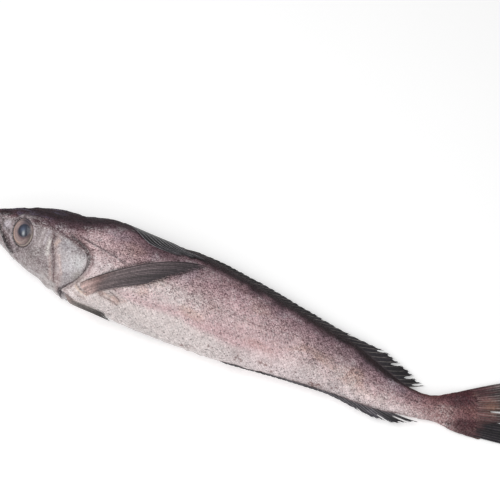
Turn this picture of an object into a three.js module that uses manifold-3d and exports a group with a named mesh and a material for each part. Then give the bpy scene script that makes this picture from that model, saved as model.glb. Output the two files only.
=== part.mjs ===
// A whole hake lying on its right side, left flank up, with its fins folded.
// Millimetres. +X runs from the snout to the tail, +Y towards the back, +Z up from the surface it lies on.
// The origin is under the middle of the fish, on that surface.

import * as THREE from 'three';
import { mergeVertices } from 'three/addons/utils/BufferGeometryUtils.js';
import Module from 'manifold-3d';

const wasm = await Module();
wasm.setup();

// ---------------------------------------------------------------- driving dimensions

// Stations along the body axis: distance from the snout tip, how far the back and the belly reach
// from the axis, half the thickness of the fish, and where on the side it is thickest.
const BODY = [
  [0, 5.6, -2.6, 1.2, 4.0],
  [1.5, 8.6, -1.0, 4.2, 4.0],
  [5, 11.6, 0.2, 6.8, 4.6],
  [10, 14.4, 1.6, 8.8, 5.2],
  [20, 19.4, 5.4, 11.4, 5.4],
  [34, 24.6, 12.4, 14.2, 4.4],
  [47, 28.6, 19.2, 17.8, 2.4],
  [61, 32.6, 24.8, 21.4, -1.0],
  [75, 34.6, 29.8, 23.8, -3.0],
  [88, 34.8, 35.8, 25.2, -3.0],
  [100, 37.0, 37.4, 26.0, -2.0],
  [118, 41.0, 39.0, 26.4, -1.0],
  [147, 41.0, 39.2, 26.0, 0],
  [191, 41.6, 38.2, 25.0, 0],
  [227, 39.2, 36.0, 23.0, 0],
  [285, 32.0, 28.0, 18.0, 0],
  [333, 25.2, 22.6, 13.5, 0],
  [374, 16.0, 16.2, 9.5, 0],
  [396, 11.6, 12.6, 7.2, 0],
  [415, 9.4, 13.0, 5.5, 0],
  [440, 14.4, 20.4, 3.4, 0],
  [462, 21.4, 25.2, 1.0, 0],
];
const FLESH_END = 462;

// Which way the axis points at each station, in degrees from +X towards +Y.
const HEADING = [
  [0, 4],
  [92, 4],
  [140, -1],
  [320, 0],
  [352, -5],
  [376, -3],
  [400, 9],
  [425, 18],
  [510, 18],
];

// The fish lies with its middle plane this share of its half thickness above the surface,
// and the underside is pressed flat where it touches.
const SETTLED = 0.86;
const PRESS_BLEND = 1.5;
const SNOUT_HEIGHT = 22;
const HEAD_END = 100;

// Cross-section: roundness of the upper and lower half, 2 for an ellipse, more for a flat crown,
// less for a keel.
const CROWN_HEAD = 3.0;
const CROWN_BODY = 2.2;
const KEEL_HEAD = 2.0;
const KEEL_BODY = 2.1;

// Eyes: flattened balls in sockets, which look forward and towards the belly. The lower one is
// pressed in, clear of the surface the fish lies on.
const EYE = { s: 50, v: 2.3, radius: 13, depth: 7.5, proud: 1.9, pressed: 0.5, forward: 31, lean: 24 };
const SOCKET_GAP = 0.3;

// Gill covers: plates with a free rear edge over a slit.
const GILL = { tip: 114.5, tipV: -10, top: 9, bottom: -33, upperCurve: 0.055, lowerCurve: 0.03 };
const COVER = { front: 79, frontLean: 0.16, proud: 1.5, sunk: 2.5, lip: 0.1 };
const SLIT = { ahead: 4, behind: 1.4, depth: 2.6 };

// Mouth: a slit on each side from the snout tip to the corner of the jaws.
const MOUTH = { depth: 4, half: 0.6 };
const MOUTH_LINE = [
  [-1, 4.0],
  [14, 5],
  [25, 2],
  [34, -7.6],
  [46, -17],
];
const NOSTRIL = { s: 26, v: 15, radius: 1.4 };

// Thickness of the fins at the root and at the tips, and how much the web between two rays is thinner
// and shorter than the rays.
const FIN = { root: 1.8, tip: 1.1, web: 0.6, notch: 0.05, sunk: 3 };
const FOLDED = { from: 124, to: 164, frontRay: 56, rearRay: 38, fall: 13 };
const CAUDAL = { root: 450, end: 494, fork: 10, up: 32.5, down: 30.5 };
const PECTORAL = {
  root: [[113, -25], [121, -32]],
  leftTip: [[206, 28.5], [168, -6]],
  rightTip: [[208, -27], [178, -33]],
  arch: 6.5,
};
const PELVIC = { root: 101, length: 46, out: 3, apart: 6 };

const RING_POINTS = 16;

// ---------------------------------------------------------------- small mathematics

const radians = THREE.MathUtils.degToRad;
const lerp = THREE.MathUtils.lerp;
const smooth = THREE.MathUtils.smoothstep;

// A repeatable number from 0 to 1 for each index.
function jitter(index, seed) {
  const wave = Math.sin(index * 12.9898 + seed * 78.233) * 43758.5453;
  return wave - Math.floor(wave);
}

// A smooth curve through a table's column that never overshoots its points.
function through(table, column, x) {
  const last = table.length - 1;
  if (x <= table[0][0]) return table[0][column];
  if (x >= table[last][0]) return table[last][column];
  let i = 0;
  while (table[i + 1][0] < x) i += 1;
  const slope = (k) => (table[k + 1][column] - table[k][column]) / (table[k + 1][0] - table[k][0]);
  const tangent = (k) => {
    if (k === 0) return slope(0);
    if (k === last) return slope(last - 1);
    const before = slope(k - 1);
    const after = slope(k);
    return before * after <= 0 ? 0 : (2 * before * after) / (before + after);
  };
  const width = table[i + 1][0] - table[i][0];
  const t = (x - table[i][0]) / width;
  const low = table[i][column];
  const high = table[i + 1][column];
  return (
    low * (1 + 2 * t) * (1 - t) ** 2 +
    high * t * t * (3 - 2 * t) +
    width * (tangent(i) * t * (1 - t) ** 2 - tangent(i + 1) * t * t * (1 - t))
  );
}

// ---------------------------------------------------------------- the body's form

const back = (s) => through(BODY, 1, s);
const belly = (s) => through(BODY, 2, s);
const half = (s) => through(BODY, 3, s);
const widest = (s) => through(BODY, 4, s);
const height = (s) => {
  const settled = SETTLED * half(Math.max(s, HEAD_END));
  return s < HEAD_END ? lerp(SNOUT_HEIGHT, settled, smooth(s, 0, HEAD_END)) : settled;
};

// Half thickness at the station s and the distance v from the axis, towards the back if positive.
function side(s, v) {
  const middle = widest(s);
  const towardsBack = v > middle;
  const reach = towardsBack ? back(s) - middle : belly(s) + middle;
  const t = Math.min(Math.abs(v - middle) / reach, 1);
  const body = smooth(s, 60, 130);
  const roundness = towardsBack ? lerp(CROWN_HEAD, CROWN_BODY, body) : lerp(KEEL_HEAD, KEEL_BODY, body);
  return half(s) * (1 - t * t) ** (1 / roundness);
}

// The axis in plan, walked from the snout in steps of one millimetre.
const AXIS = [new THREE.Vector2(0, 0)];
for (let s = 0; s < 520; s += 1) {
  const angle = radians(through(HEADING, 1, s + 0.5));
  AXIS.push(AXIS[s].clone().add(new THREE.Vector2(Math.cos(angle), Math.sin(angle))));
}

// Where the point at station s, v towards the back and z above the surface stands.
function place(s, v, z) {
  const along = Math.max(s, 0);
  const cell = Math.min(Math.floor(along), AXIS.length - 2);
  const axis = AXIS[cell].clone().lerp(AXIS[cell + 1], s - cell);
  const angle = radians(through(HEADING, 1, s));
  return new THREE.Vector3(axis.x - v * Math.sin(angle), axis.y + v * Math.cos(angle), z);
}

// Soft flesh never goes below the surface: it spreads flat on it.
function press(z) {
  if (z >= PRESS_BLEND) return z;
  if (z <= -PRESS_BLEND) return 0;
  return (z + PRESS_BLEND) ** 2 / (4 * PRESS_BLEND);
}

// A point on or off the skin: u is measured out from the middle plane, up on the left side.
const flesh = (s, v, u) => place(s, v, press(height(s) + u));

// ---------------------------------------------------------------- solids

// A closed solid through rings with as many points each; the ends are zipped shut.
function loft(rings) {
  const count = rings[0].length;
  const positions = rings.flat().flatMap((p) => [p.x, p.y, p.z]);
  const faces = [];
  const quad = (a, b, c, d) => faces.push([a, b, c], [a, c, d]);
  for (let r = 0; r + 1 < rings.length; r += 1) {
    for (let k = 0; k < count; k += 1) {
      const next = (k + 1) % count;
      quad(r * count + k, r * count + next, (r + 1) * count + next, (r + 1) * count + k);
    }
  }
  const lastRing = (rings.length - 1) * count;
  for (let k = 0; k + 1 < count / 2; k += 1) {
    quad(k, count - 1 - k, count - 2 - k, k + 1);
    quad(lastRing + k, lastRing + k + 1, lastRing + count - 2 - k, lastRing + count - 1 - k);
  }
  const geometry = new THREE.BufferGeometry();
  geometry.setAttribute('position', new THREE.Float32BufferAttribute(positions, 3));
  geometry.setIndex(faces.flat());
  return toSolid(geometry);
}

function toSolid(geometry) {
  const bare = geometry.clone();
  bare.deleteAttribute('normal');
  bare.deleteAttribute('uv');
  const merged = mergeVertices(bare, 1e-4);
  const index = merged.index.array;
  const kept = [];
  for (let i = 0; i < index.length; i += 3) {
    const [a, b, c] = [index[i], index[i + 1], index[i + 2]];
    if (a !== b && b !== c && c !== a) kept.push(a, b, c);
  }
  const mesh = new wasm.Mesh({
    numProp: 3,
    vertProperties: Float32Array.from(merged.attributes.position.array),
    triVerts: Uint32Array.from(kept),
  });
  const solid = new wasm.Manifold(mesh);
  if (solid.volume() > 0) return solid;
  for (let i = 0; i < kept.length; i += 3) [kept[i], kept[i + 1]] = [kept[i + 1], kept[i]];
  mesh.triVerts = Uint32Array.from(kept);
  return new wasm.Manifold(mesh);
}

function toGeometry(solid) {
  const mesh = solid.getMesh();
  const geometry = new THREE.BufferGeometry();
  geometry.setAttribute('position', new THREE.Float32BufferAttribute(mesh.vertProperties, 3));
  geometry.setIndex(Array.from(mesh.triVerts));
  geometry.computeVertexNormals();
  return geometry;
}

// Fusing thin blades to the flank can leave a speck or a sealed bubble: only the main shell is kept.
function mainShell(solid) {
  return solid.decompose().reduce((a, b) => (b.volume() > a.volume() ? b : a));
}

// Points on one side of a section, evenly spaced from the back to the belly.
function sidePoints(s) {
  const fine = 160;
  const outline = [];
  for (let i = 0; i <= fine; i += 1) {
    const turn = (i / fine) * Math.PI;
    const middle = widest(s);
    const reach = turn < Math.PI / 2 ? back(s) - middle : belly(s) + middle;
    const v = middle + reach * Math.cos(turn);
    outline.push(new THREE.Vector2(v, side(s, v)));
  }
  outline[0].y = 0;
  outline[fine].y = 0;
  const run = [0];
  for (let i = 1; i <= fine; i += 1) run.push(run[i - 1] + outline[i].distanceTo(outline[i - 1]));
  const points = [];
  for (let k = 0, i = 0; k <= RING_POINTS; k += 1) {
    const wanted = (k / RING_POINTS) * run[fine];
    while (i < fine - 1 && run[i + 1] < wanted) i += 1;
    const share = (wanted - run[i]) / (run[i + 1] - run[i]);
    points.push(outline[i].clone().lerp(outline[i + 1], Math.min(share, 1)));
  }
  return points;
}

// ---------------------------------------------------------------- head and trunk

function trunk() {
  const rings = [];
  for (let s = 0; s < FLESH_END; s += lerp(lerp(1.4, 3.8, smooth(s, 0, 20)), 11, smooth(s, 100, 160))) {
    rings.push(fleshRing(s));
  }
  rings.push(fleshRing(FLESH_END));
  return loft(rings);
}

function fleshRing(s) {
  const points = sidePoints(s);
  const left = points.map((p) => flesh(s, p.x, p.y));
  const right = points.map((p) => flesh(s, p.x, -p.y));
  return [...left, ...right.reverse()];
}

const gillEdge = (v) => {
  const curve = v > GILL.tipV ? GILL.upperCurve : GILL.lowerCurve;
  return GILL.tip - curve * (v - GILL.tipV) ** 2;
};

// A slab that follows the side of the fish: from and to give its faces, measured out from the skin.
function slab(flank, rows, columns, spot, from, to) {
  const rings = [];
  for (let i = 0; i <= rows; i += 1) {
    const outer = [];
    const inner = [];
    for (let j = 0; j <= columns; j += 1) {
      const [s, v] = spot(i / rows, j / columns);
      const skin = side(s, v);
      outer.push(flesh(s, v, flank * (skin + to(i / rows, j / columns))));
      inner.push(flesh(s, v, flank * (skin + from(i / rows, j / columns))));
    }
    rings.push([...outer, ...inner.reverse()]);
  }
  return loft(rings);
}

// The plate's free rear edge stands proud; its front sinks into the cheek.
function gillCover(flank) {
  const spot = (a, b) => {
    const v = lerp(GILL.top, GILL.bottom, b);
    return [lerp(COVER.front - COVER.frontLean * v, gillEdge(v), a), v];
  };
  const ends = (b) => smooth(b, 0, 0.15) * smooth(1 - b, 0, 0.15);
  const top = (a, b) => COVER.proud * (smooth(a, 0, 0.35) * ends(b) * 1.1 - 0.1);
  const under = (a) => (a > 1 - COVER.lip ? 0 : -COVER.sunk);
  return slab(flank, 8, 12, spot, under, top);
}

function gillSlit(flank) {
  const spot = (a, b) => {
    const v = lerp(GILL.top + 2, GILL.bottom - 2, b);
    return [gillEdge(v) + lerp(-SLIT.ahead, SLIT.behind, a), v];
  };
  const depth = (a, b) => -SLIT.depth * (0.15 + 0.85 * Math.sin(Math.PI * b));
  return slab(flank, 2, 12, spot, depth, () => 4);
}

// The slit between the jaws, cut from one side.
function mouthSlit(flank) {
  const first = MOUTH_LINE[0][0];
  const last = MOUTH_LINE[MOUTH_LINE.length - 1][0];
  const rings = [];
  for (let i = 0; i <= 12; i += 1) {
    const s = lerp(first, last, i / 12);
    const v = through(MOUTH_LINE, 1, s);
    const open = MOUTH.half * (1 - 0.6 * (i / 12));
    const skin = side(Math.max(s, 0), v);
    const outer = height(s) + flank * (skin + 3);
    const inner = height(s) + flank * Math.max(skin - MOUTH.depth, -0.5);
    rings.push([place(s, v + open, outer), place(s, v + open, inner), place(s, v - open, inner),
      place(s, v - open, outer)]);
  }
  return loft(rings);
}

function nostril(flank) {
  const ball = new THREE.SphereGeometry(NOSTRIL.radius, 8, 6);
  ball.scale(1.3, 1, 1);
  const centre = flesh(NOSTRIL.s, NOSTRIL.v, flank * side(NOSTRIL.s, NOSTRIL.v));
  ball.translate(centre.x, centre.y, centre.z);
  return toSolid(ball);
}

// A flattened ball that looks sideways, forward and towards the belly.
function eyeball(flank, grow) {
  const ball = new THREE.SphereGeometry(1, 18, 10);
  ball.rotateX(Math.PI / 2);
  ball.scale(EYE.radius + grow, EYE.radius + grow, EYE.depth + grow);
  ball.rotateX(radians(flank * EYE.lean));
  ball.rotateY(radians(-flank * EYE.forward));
  ball.rotateZ(radians(through(HEADING, 1, EYE.s)));
  const proud = flank > 0 ? EYE.proud : EYE.pressed;
  const centre = place(EYE.s, EYE.v, height(EYE.s) + flank * (side(EYE.s, EYE.v) + proud - EYE.depth));
  ball.translate(centre.x, centre.y, centre.z);
  return toSolid(ball);
}

// ---------------------------------------------------------------- fins

// A thin ridged blade. at(a, b) gives its middle surface: a runs across the rays, b along them.
function fin(rays, steps, seed, at) {
  const columns = 2 * rays - 1;
  const reach = (c) => 1 - (c % 2 ? FIN.notch : 0) - 0.06 * jitter(c - (c % 2), seed);
  const rings = [];
  for (let r = 0; r <= steps; r += 1) {
    const front = [];
    const rear = [];
    for (let c = 0; c < columns; c += 1) {
      const a = c / (columns - 1);
      const b = (r / steps) * reach(c);
      const point = at(a, b);
      const nudge = 0.01;
      const acrossFin = at(Math.min(a + nudge, 1), b).sub(at(Math.max(a - nudge, 0), b));
      const alongRay = at(a, Math.min(b + nudge, 1)).sub(at(a, Math.max(b - nudge, 0)));
      const normal = acrossFin.cross(alongRay).normalize();
      const thick = lerp(FIN.root, FIN.tip, b) * (c % 2 ? FIN.web : 1);
      front.push(point.clone().addScaledVector(normal, thick / 2));
      rear.push(point.clone().addScaledVector(normal, -thick / 2));
    }
    rings.push([...front, ...rear.reverse()]);
  }
  return loft(rings);
}

// A fin on the middle line of the back or the belly. Each ray leaves its root swept towards the tail
// and droops towards the surface.
function middleFin({ rays, seed, from, to, edge, length, sweep, droop }) {
  return fin(rays, 4, seed, (a, b) => {
    const root = lerp(from, to, a);
    const sign = edge === 'back' ? 1 : -1;
    const rim = edge === 'back' ? back(root) : belly(root);
    const lean = radians(sweep(a));
    const run = lerp(-FIN.sunk, length(a), b);
    const out = run * Math.sin(lean);
    const fall = Math.max(out, 0) * Math.sin(radians(droop));
    const z = Math.max(height(root) - fall, FIN.root);
    return place(root + run * Math.cos(lean), sign * (rim + out * Math.cos(radians(droop))), z);
  });
}

function secondDorsal() {
  const length = (a) => lerp(13, 22, smooth(a, 0.6, 0.8)) - 5 * smooth(a, 0.9, 1);
  const sweep = (a) => lerp(12, 27, smooth(a, 0.64, 0.8)) * lerp(1, 0.58, smooth(a, 0.85, 1));
  return middleFin({ rays: 18, seed: 2, from: 176, to: 394, edge: 'back', length, sweep, droop: 20 });
}

function analFin() {
  const length = (a) => lerp(9, 21.5, smooth(a, 0.55, 0.82));
  const sweep = (a) => lerp(5, 14, smooth(a, 0.5, 0.8)) * lerp(1, 0.4, smooth(a, 0.85, 1));
  return middleFin({ rays: 16, seed: 3, from: 240, to: 387, edge: 'belly', length, sweep, droop: 25 });
}

// The first dorsal fin is folded back and lies over the upper flank.
function firstDorsal() {
  return fin(9, 5, 1, (a, b) => {
    const root = lerp(FOLDED.from, FOLDED.to, a);
    const run = lerp(-3, lerp(FOLDED.frontRay, FOLDED.rearRay, a), b);
    const s = root + run;
    const fall = lerp(FOLDED.fall, 5, a) * smooth(b, 0, 0.6) + 0.8;
    const v = back(s) - fall;
    return place(s, v, height(s) + side(s, v) + lerp(-1.2, 1.2, smooth(b, 0, 0.3)));
  });
}

function caudalFin() {
  return fin(13, 4, 4, (a, b) => {
    const across = 1 - 2 * a;
    const start = CAUDAL.root - 14 * Math.abs(across);
    const end = CAUDAL.end + CAUDAL.fork * across * across;
    const [edge, reach] = across > 0 ? [back(start), CAUDAL.up] : [belly(start), CAUDAL.down];
    const v = across * lerp(edge * 0.94, reach, b ** 0.9);
    return place(lerp(start, end, b), v, lerp(height(CAUDAL.root), 1.9, smooth(b, 0, 0.5)));
  });
}

// The left pectoral fin lies across the flank, pointing up the back. The right one is caught under
// the body and points straight back.
function pectoralFin(flank) {
  const tip = flank > 0 ? PECTORAL.leftTip : PECTORAL.rightTip;
  return fin(9, 5, 5 + flank, (a, b) => {
    const rayTip = (k) => lerp(tip[0][k], tip[1][k], a);
    const root = (k) => lerp(PECTORAL.root[0][k], PECTORAL.root[1][k], a);
    const reach = lerp(-0.04, 1, b);
    const arch = (flank > 0 ? PECTORAL.arch : 0) * (1 - a) * 6.75 * b * b * (1 - b);
    const s = lerp(root(0), rayTip(0), reach) - arch * 0.5;
    const v = lerp(root(1), rayTip(1), reach) + arch;
    const off = lerp(-1.5, 2, smooth(b, 0, 0.12)) + (flank > 0 ? 3 * b * b : 0);
    const z = height(s) + flank * (side(s, v) + off);
    return place(s, v, Math.max(z, FIN.root / 2));
  });
}

// The left pelvic fin follows the edge of the belly, the right one is tucked under it.
function pelvicFin(flank) {
  return fin(6, 3, 8 + flank, (a, b) => {
    const root = PELVIC.root + 4 * a;
    const s = root + lerp(-3, PELVIC.length * (1 - 0.25 * a), b);
    const out = flank > 0 ? lerp(-2, PELVIC.out, smooth(b, 0, 0.2)) - 3 * a : lerp(-3, -7, b) - 2 * a;
    const z = height(s) + flank * lerp(PELVIC.apart, PELVIC.apart - 3 + 4 * a, b);
    return place(s, -belly(s) - out, Math.max(z, FIN.root / 2));
  });
}

// ---------------------------------------------------------------- the fish

function hake() {
  let body = trunk();
  for (const flank of [1, -1]) {
    body = body.subtract(gillSlit(flank)).add(gillCover(flank));
    body = body.subtract(mouthSlit(flank)).subtract(nostril(flank));
    body = body.subtract(eyeball(flank, SOCKET_GAP));
    body = body.add(pectoralFin(flank)).add(pelvicFin(flank));
  }
  return mainShell(body.add(firstDorsal()).add(secondDorsal()).add(analFin()).add(caudalFin()));
}

function piece(name, solid, colour, roughness) {
  const material = new THREE.MeshStandardMaterial({ color: colour, roughness, metalness: 0 });
  const mesh = new THREE.Mesh(toGeometry(solid), material);
  mesh.name = name;
  return mesh;
}

const fish = new THREE.Group();
fish.add(piece('hake', hake(), '#b09a9b', 0.4));
fish.add(piece('eye_left', eyeball(1, 0), '#8f8083', 0.12));
fish.add(piece('eye_right', eyeball(-1, 0), '#8f8083', 0.12));

const bounds = new THREE.Box3().setFromObject(fish);
const middle = bounds.getCenter(new THREE.Vector3());
fish.position.set(-middle.x, -middle.y, -bounds.min.z);

export default fish;
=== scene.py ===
"""A whole raw hake on its right side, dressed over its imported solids: skin, eyes and fins."""

import math

import bpy
import numpy as np
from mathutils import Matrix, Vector


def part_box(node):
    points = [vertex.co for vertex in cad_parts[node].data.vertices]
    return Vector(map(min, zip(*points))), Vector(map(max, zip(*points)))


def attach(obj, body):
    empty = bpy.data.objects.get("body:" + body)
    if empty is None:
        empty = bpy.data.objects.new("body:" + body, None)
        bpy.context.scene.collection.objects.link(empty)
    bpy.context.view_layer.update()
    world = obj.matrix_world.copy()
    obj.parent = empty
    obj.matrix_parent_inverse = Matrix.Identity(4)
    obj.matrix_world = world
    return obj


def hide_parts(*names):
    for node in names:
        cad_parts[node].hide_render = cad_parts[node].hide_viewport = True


bl_info = {
    "name": "Whole hake",
    "version": (1, 0, 0),
    "blender": (4, 5, 0),
    "location": "View3D > Sidebar > Hake",
    "description": "Makes the skin, eyes and fins of a whole hake",
    "category": "Object",
}

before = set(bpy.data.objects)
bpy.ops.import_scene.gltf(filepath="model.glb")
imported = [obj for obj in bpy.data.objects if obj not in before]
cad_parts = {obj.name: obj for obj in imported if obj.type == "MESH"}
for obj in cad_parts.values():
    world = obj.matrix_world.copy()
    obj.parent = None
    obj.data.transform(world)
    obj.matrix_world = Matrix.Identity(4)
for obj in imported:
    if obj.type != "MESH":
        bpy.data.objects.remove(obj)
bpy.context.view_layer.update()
MM = 0.001

# ------------------------------------------------------------------ sizes, in millimetres and degrees

# Distance from the snout tip, reach of the back and of the belly from the axis, half the thickness,
# and where on the side the fish is thickest: the same stations as the solids have.
BODY = np.array([
    [0, 5.6, -2.6, 1.2, 4.0],
    [1.5, 8.6, -1.0, 4.2, 4.0],
    [5, 11.6, 0.2, 6.8, 4.6],
    [10, 14.4, 1.6, 8.8, 5.2],
    [20, 19.4, 5.4, 11.4, 5.4],
    [34, 24.6, 12.4, 14.2, 4.4],
    [47, 28.6, 19.2, 17.8, 2.4],
    [61, 32.6, 24.8, 21.4, -1.0],
    [75, 34.6, 29.8, 23.8, -3.0],
    [88, 34.8, 35.8, 25.2, -3.0],
    [100, 37.0, 37.4, 26.0, -2.0],
    [118, 41.0, 39.0, 26.4, -1.0],
    [147, 41.0, 39.2, 26.0, 0],
    [191, 41.6, 38.2, 25.0, 0],
    [227, 39.2, 36.0, 23.0, 0],
    [285, 32.0, 28.0, 18.0, 0],
    [333, 25.2, 22.6, 13.5, 0],
    [374, 16.0, 16.2, 9.5, 0],
    [396, 11.6, 12.6, 7.2, 0],
    [415, 9.4, 13.0, 5.5, 0],
    [440, 14.4, 20.4, 3.4, 0],
    [462, 21.4, 25.2, 1.0, 0],
])
FLESH_END = 462.0
# Which way the axis heads at each distance, in degrees: the tail bends towards the back.
HEADING = np.array([
    [0, 4], [92, 4], [140, -1], [320, 0], [352, -5], [376, -3], [400, 9], [425, 18], [510, 18],
])
AXIS_LENGTH = 520
# The middle plane lies this share of the half thickness above the surface, and flesh within the
# blend of the surface spreads flat. The snout has a height of its own, up to the head's end.
SETTLED, PRESS_BLEND = 0.86, 1.5
SNOUT_HEIGHT, HEAD_END = 22.0, 100.0
# How square the section is towards the back (crown) and the belly (keel): 2 is an ellipse.
CROWN_HEAD, CROWN_BODY = 3.0, 2.2
KEEL_HEAD, KEEL_BODY = 2.0, 2.1

# Eyes, with the reach of the skin's opening and of the pupil, which sits off the eye's middle.
EYE_S, EYE_V, EYE_RADIUS, EYE_DEPTH, EYE_FORWARD, EYE_LEAN = 50.0, 2.3, 13.0, 7.5, 31.0, 24.0
EYE_PROUD, EYE_PRESSED = 1.9, 0.5
ORBIT = 11.9
PUPIL, PUPIL_RADIUS = (4.1, 1.9), 6.3
EYE_RINGS, EYE_SPOKES = 56, 96
# The gill cover's free edge: its rearmost point, its ends and how fast it curves forward.
GILL_TIP, GILL_TIP_V, GILL_TOP, GILL_BOTTOM = 114.5, -10.0, 9.0, -33.0
GILL_UPPER_CURVE, GILL_LOWER_CURVE = 0.055, 0.03
# Lines on the head as points (s, v), and where the upper jaw's bone fades out.
MOUTH_LINE = [(-1, 4.0), (14, 5), (25, 2), (34, -7.6), (46, -17)]
JAW_TOP_LINE = [(2, 9), (14, 11), (24, 9.6), (30, 1), (39, -7.7), (49, -16)]
CROWN_LINE = [(8, 7), (24, 9.5), (36, 12), (50, 15.5), (62, 10.5), (76, 8.0), (92, 4.5), (104, -0.5)]
DARK_LINE = [
    (4, 9), (20, 11), (34, 13.5), (50, 15.6), (64, 15.5), (76, 16), (92, 18), (110, 23.5), (124, 30.5), (144, 36.5),
]
JAW_FADE = (45, 52)
NOSTRILS, NOSTRIL_V = ((25.0, 1.5), (29.2, 1.9)), 15.4

# Fins: the tail fan; the first dorsal folded over the shoulder; root and tip lines of the paired fins;
# how deep they are sunk in, how clear of the surface they stay, and how their webs and rays are divided.
TAIL_ROOT, TAIL_END, TAIL_FORK, TAIL_UP, TAIL_DOWN = 450.0, 494.0, 10.0, 32.5, 30.5
FOLDED_FROM, FOLDED_TO, FRONT_RAY, REAR_RAY, FOLDED_FALL = 124, 164, 56, 38, 13
PECTORAL_ROOT, PECTORAL_BOW = ((113, -25), (121, -32)), 6.5
PECTORAL_TIP = {1: ((206, 28.5), (168, -6)), -1: ((208, -27), (178, -33))}
PELVIC_ROOT, PELVIC_LENGTH = 101, 46
FIN_SUNK, FIN_CLEAR = 3.0, 0.9
WEBS_PER_RAY, RUFFLE, RAY_POINTS = 4, 0.35, 12

# Furrows and raised folds: points (s, v), half width, depth (raised if negative), colour, how strongly it colours, and
# whether the lower side has it too. A few colours are painted light, marked where they stand: highlights on two raised
# folds of the cheek and gill cover, and shadows along the pectoral fin's upper edge and above the crescent at its
# root.
CREASES = (
    ([(95, 10.5), (111, 7.2), (126, 4.8), (137, 3), (143, 1)], 0.75, 0.55, "#3a282e", 0.9, True),
    ([(143, 1), (200, 0.5), (330, 0), (455, 0)], 0.8, 0.25, "#5f4b50", 0.4, True),
    ([(73, 8), (77, 4), (78, -3), (82.5, -12), (86.5, -22), (89, -33)], 0.9, 1.3, "#5c4043", 0.9, True),
    ([(79, 4), (77.6, -1), (78.4, -5), (81.6, -8)], 0.5, 0.5, "#3c2a2e", 0.7, False),
    # Painted highlight: a whitish streak along the cheek's raised ridge.
    ([(74.5, 1), (75.3, -6), (77.5, -14)], 1.5, -1.0, "#dcd6d2", 0.95, True),
    ([(78.4, -12), (82, -20), (84.5, -28)], 1.3, -0.7, "#b8a39f", 0.65, True),
    ([(62, 9), (61, 2), (62.5, -7)], 1.1, -0.5, "#c2b6b8", 0.8, True),
    ([(67, 8.5), (66.5, 1), (68, -9)], 1.0, -0.5, "#c2b7b8", 0.8, True),
    ([(71.5, 8), (71, 2), (71.5, -6)], 0.9, -0.45, "#bdb2b8", 0.75, True),
    # Painted highlight on a raised fold at the gill cover's upper front corner.
    ([(82.5, 3.5), (80.6, -1), (80.2, -4)], 1.3, -0.6, "#d6bdb3", 0.85, False),
    ([(86, -9), (90, -18), (94, -26)], 1.2, -0.4, "#c8b0aa", 0.65, True),
    # Painted shadow: a nearly black line on the skin along the left pectoral fin's upper edge.
    (
        [(113.5, -23.6), (124, -18.6), (131, -11.6), (140.5, -3), (152, 7), (166, 16.2)],
        1.0, 0.5, "#1d1618", 0.9, False,
    ),
    ([(139.0, -23.5), (145.8, -25.1), (151.5, -27.6)], 0.7, 0.9, "#543c3c", 0.85, False),
    ([(131.0, -28.7), (141.2, -29.1), (150.7, -30.2)], 0.7, 0.9, "#6a4941", 0.75, False),
    ([(134, -27.0), (143, -27.2), (151, -29)], 0.9, -0.9, "#c6aaa0", 0.7, False),
    # Painted shadow: a dark brown line above the pale crescent at the pectoral fin's root.
    ([(108.3, -26.6), (111.4, -29.0), (116, -30.6), (122.1, -31.0)], 0.6, 0.9, "#5f3f38", 0.85, False),
    ([(107.6, -28.0), (110.8, -30.6), (115.6, -32.2), (122.4, -32.6)], 0.8, -0.9, "#e4cbb8", 0.9, False),
    ([(106, -31.5), (112, -34.2), (122, -35.2)], 0.7, 0.5, "#a08780", 0.6, False),
    ([(24, 3.5), (26.7, 0.7), (33.2, -6.8), (40, -13.6), (43, -16.6)], 0.8, 0.6, "#2b1f23", 0.95, True),
    ([(27, 0.5), (30.6, -3.4), (36.9, -9.3), (42.2, -13.6), (47.1, -17.2)], 0.5, 0.5, "#40292f", 0.85, True),
    ([(28.7, -0.8), (34, -5.4), (40, -10.8), (45, -15)], 0.7, -0.4, "#b9a9ad", 0.8, True),
    ([(29.5, -6.5), (35, -11.3), (40.5, -16.6), (43, -18.2)], 0.6, -0.3, "#97858a", 0.7, True),
    ([(46, -17), (56, -21.5), (66, -24.5), (77, -27.5)], 0.9, 0.6, "#7c6e6e", 0.5, True),
    ([(50, -20), (60, -25), (72, -29.5), (84, -33.5)], 0.9, 0.55, "#877a79", 0.45, True),
)

# Soft patches of colour, half as strong on the lower side: centre (s, v), reach along and across,
# colour, strength.
PATCHES = (
    (31.5, 3.6, 3.0, 4.6, "#c3bbc4", 0.85),
    (26.5, 14.6, 6.5, 3.4, "#30252a", 0.9),
    (44.0, -13.5, 6, 3, "#99908f", 0.5),
    (66, -14, 8, 6, "#87807f", 0.55),
    (60, -20, 9, 4, "#8f8584", 0.4),
    (56, 6.5, 3.5, 5, "#86696f", 0.5),
    (104, -11.5, 8, 8, "#cbcacb", 0.8),
    (97, -19, 10, 8, "#bbb5ba", 0.5),
    (91, 0, 9, 5, "#a49ea3", 0.5),
    (86, -27, 6, 5, "#a58d8a", 0.55),
    (108, -22, 6, 5, "#a6a397", 0.35),
    (121, -9, 14, 9, "#c4b6b9", 0.55),
    (133, 12, 18, 8, "#b39c9f", 0.35),
    (182, -3, 38, 9, "#e6dad8", 0.6),
    (150, -14, 20, 6, "#e2d3d2", 0.4),
    (232, -2, 30, 8, "#ddcbca", 0.35),
    (121, -27.5, 7, 4.5, "#9c7b70", 0.7),
    (133, -26.5, 7, 3.5, "#84594f", 0.6),
    (146, -27, 8, 4, "#c79b90", 0.4),
    # Painted shade in the throat's notch under the gill cover's corner.
    (95, -35.5, 4, 2.4, "#33242a", 0.95),
    (440, 7, 17, 6.5, "#45202b", 0.8),
    (447, -13, 20, 5.5, "#4a222b", 0.85),
    (454, -1, 13, 5, "#9a6c68", 0.55),
    (463, 3, 7, 8, "#8a6a5c", 0.65),
    (428, -4, 12, 5, "#9b7f7c", 0.5),
)

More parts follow.
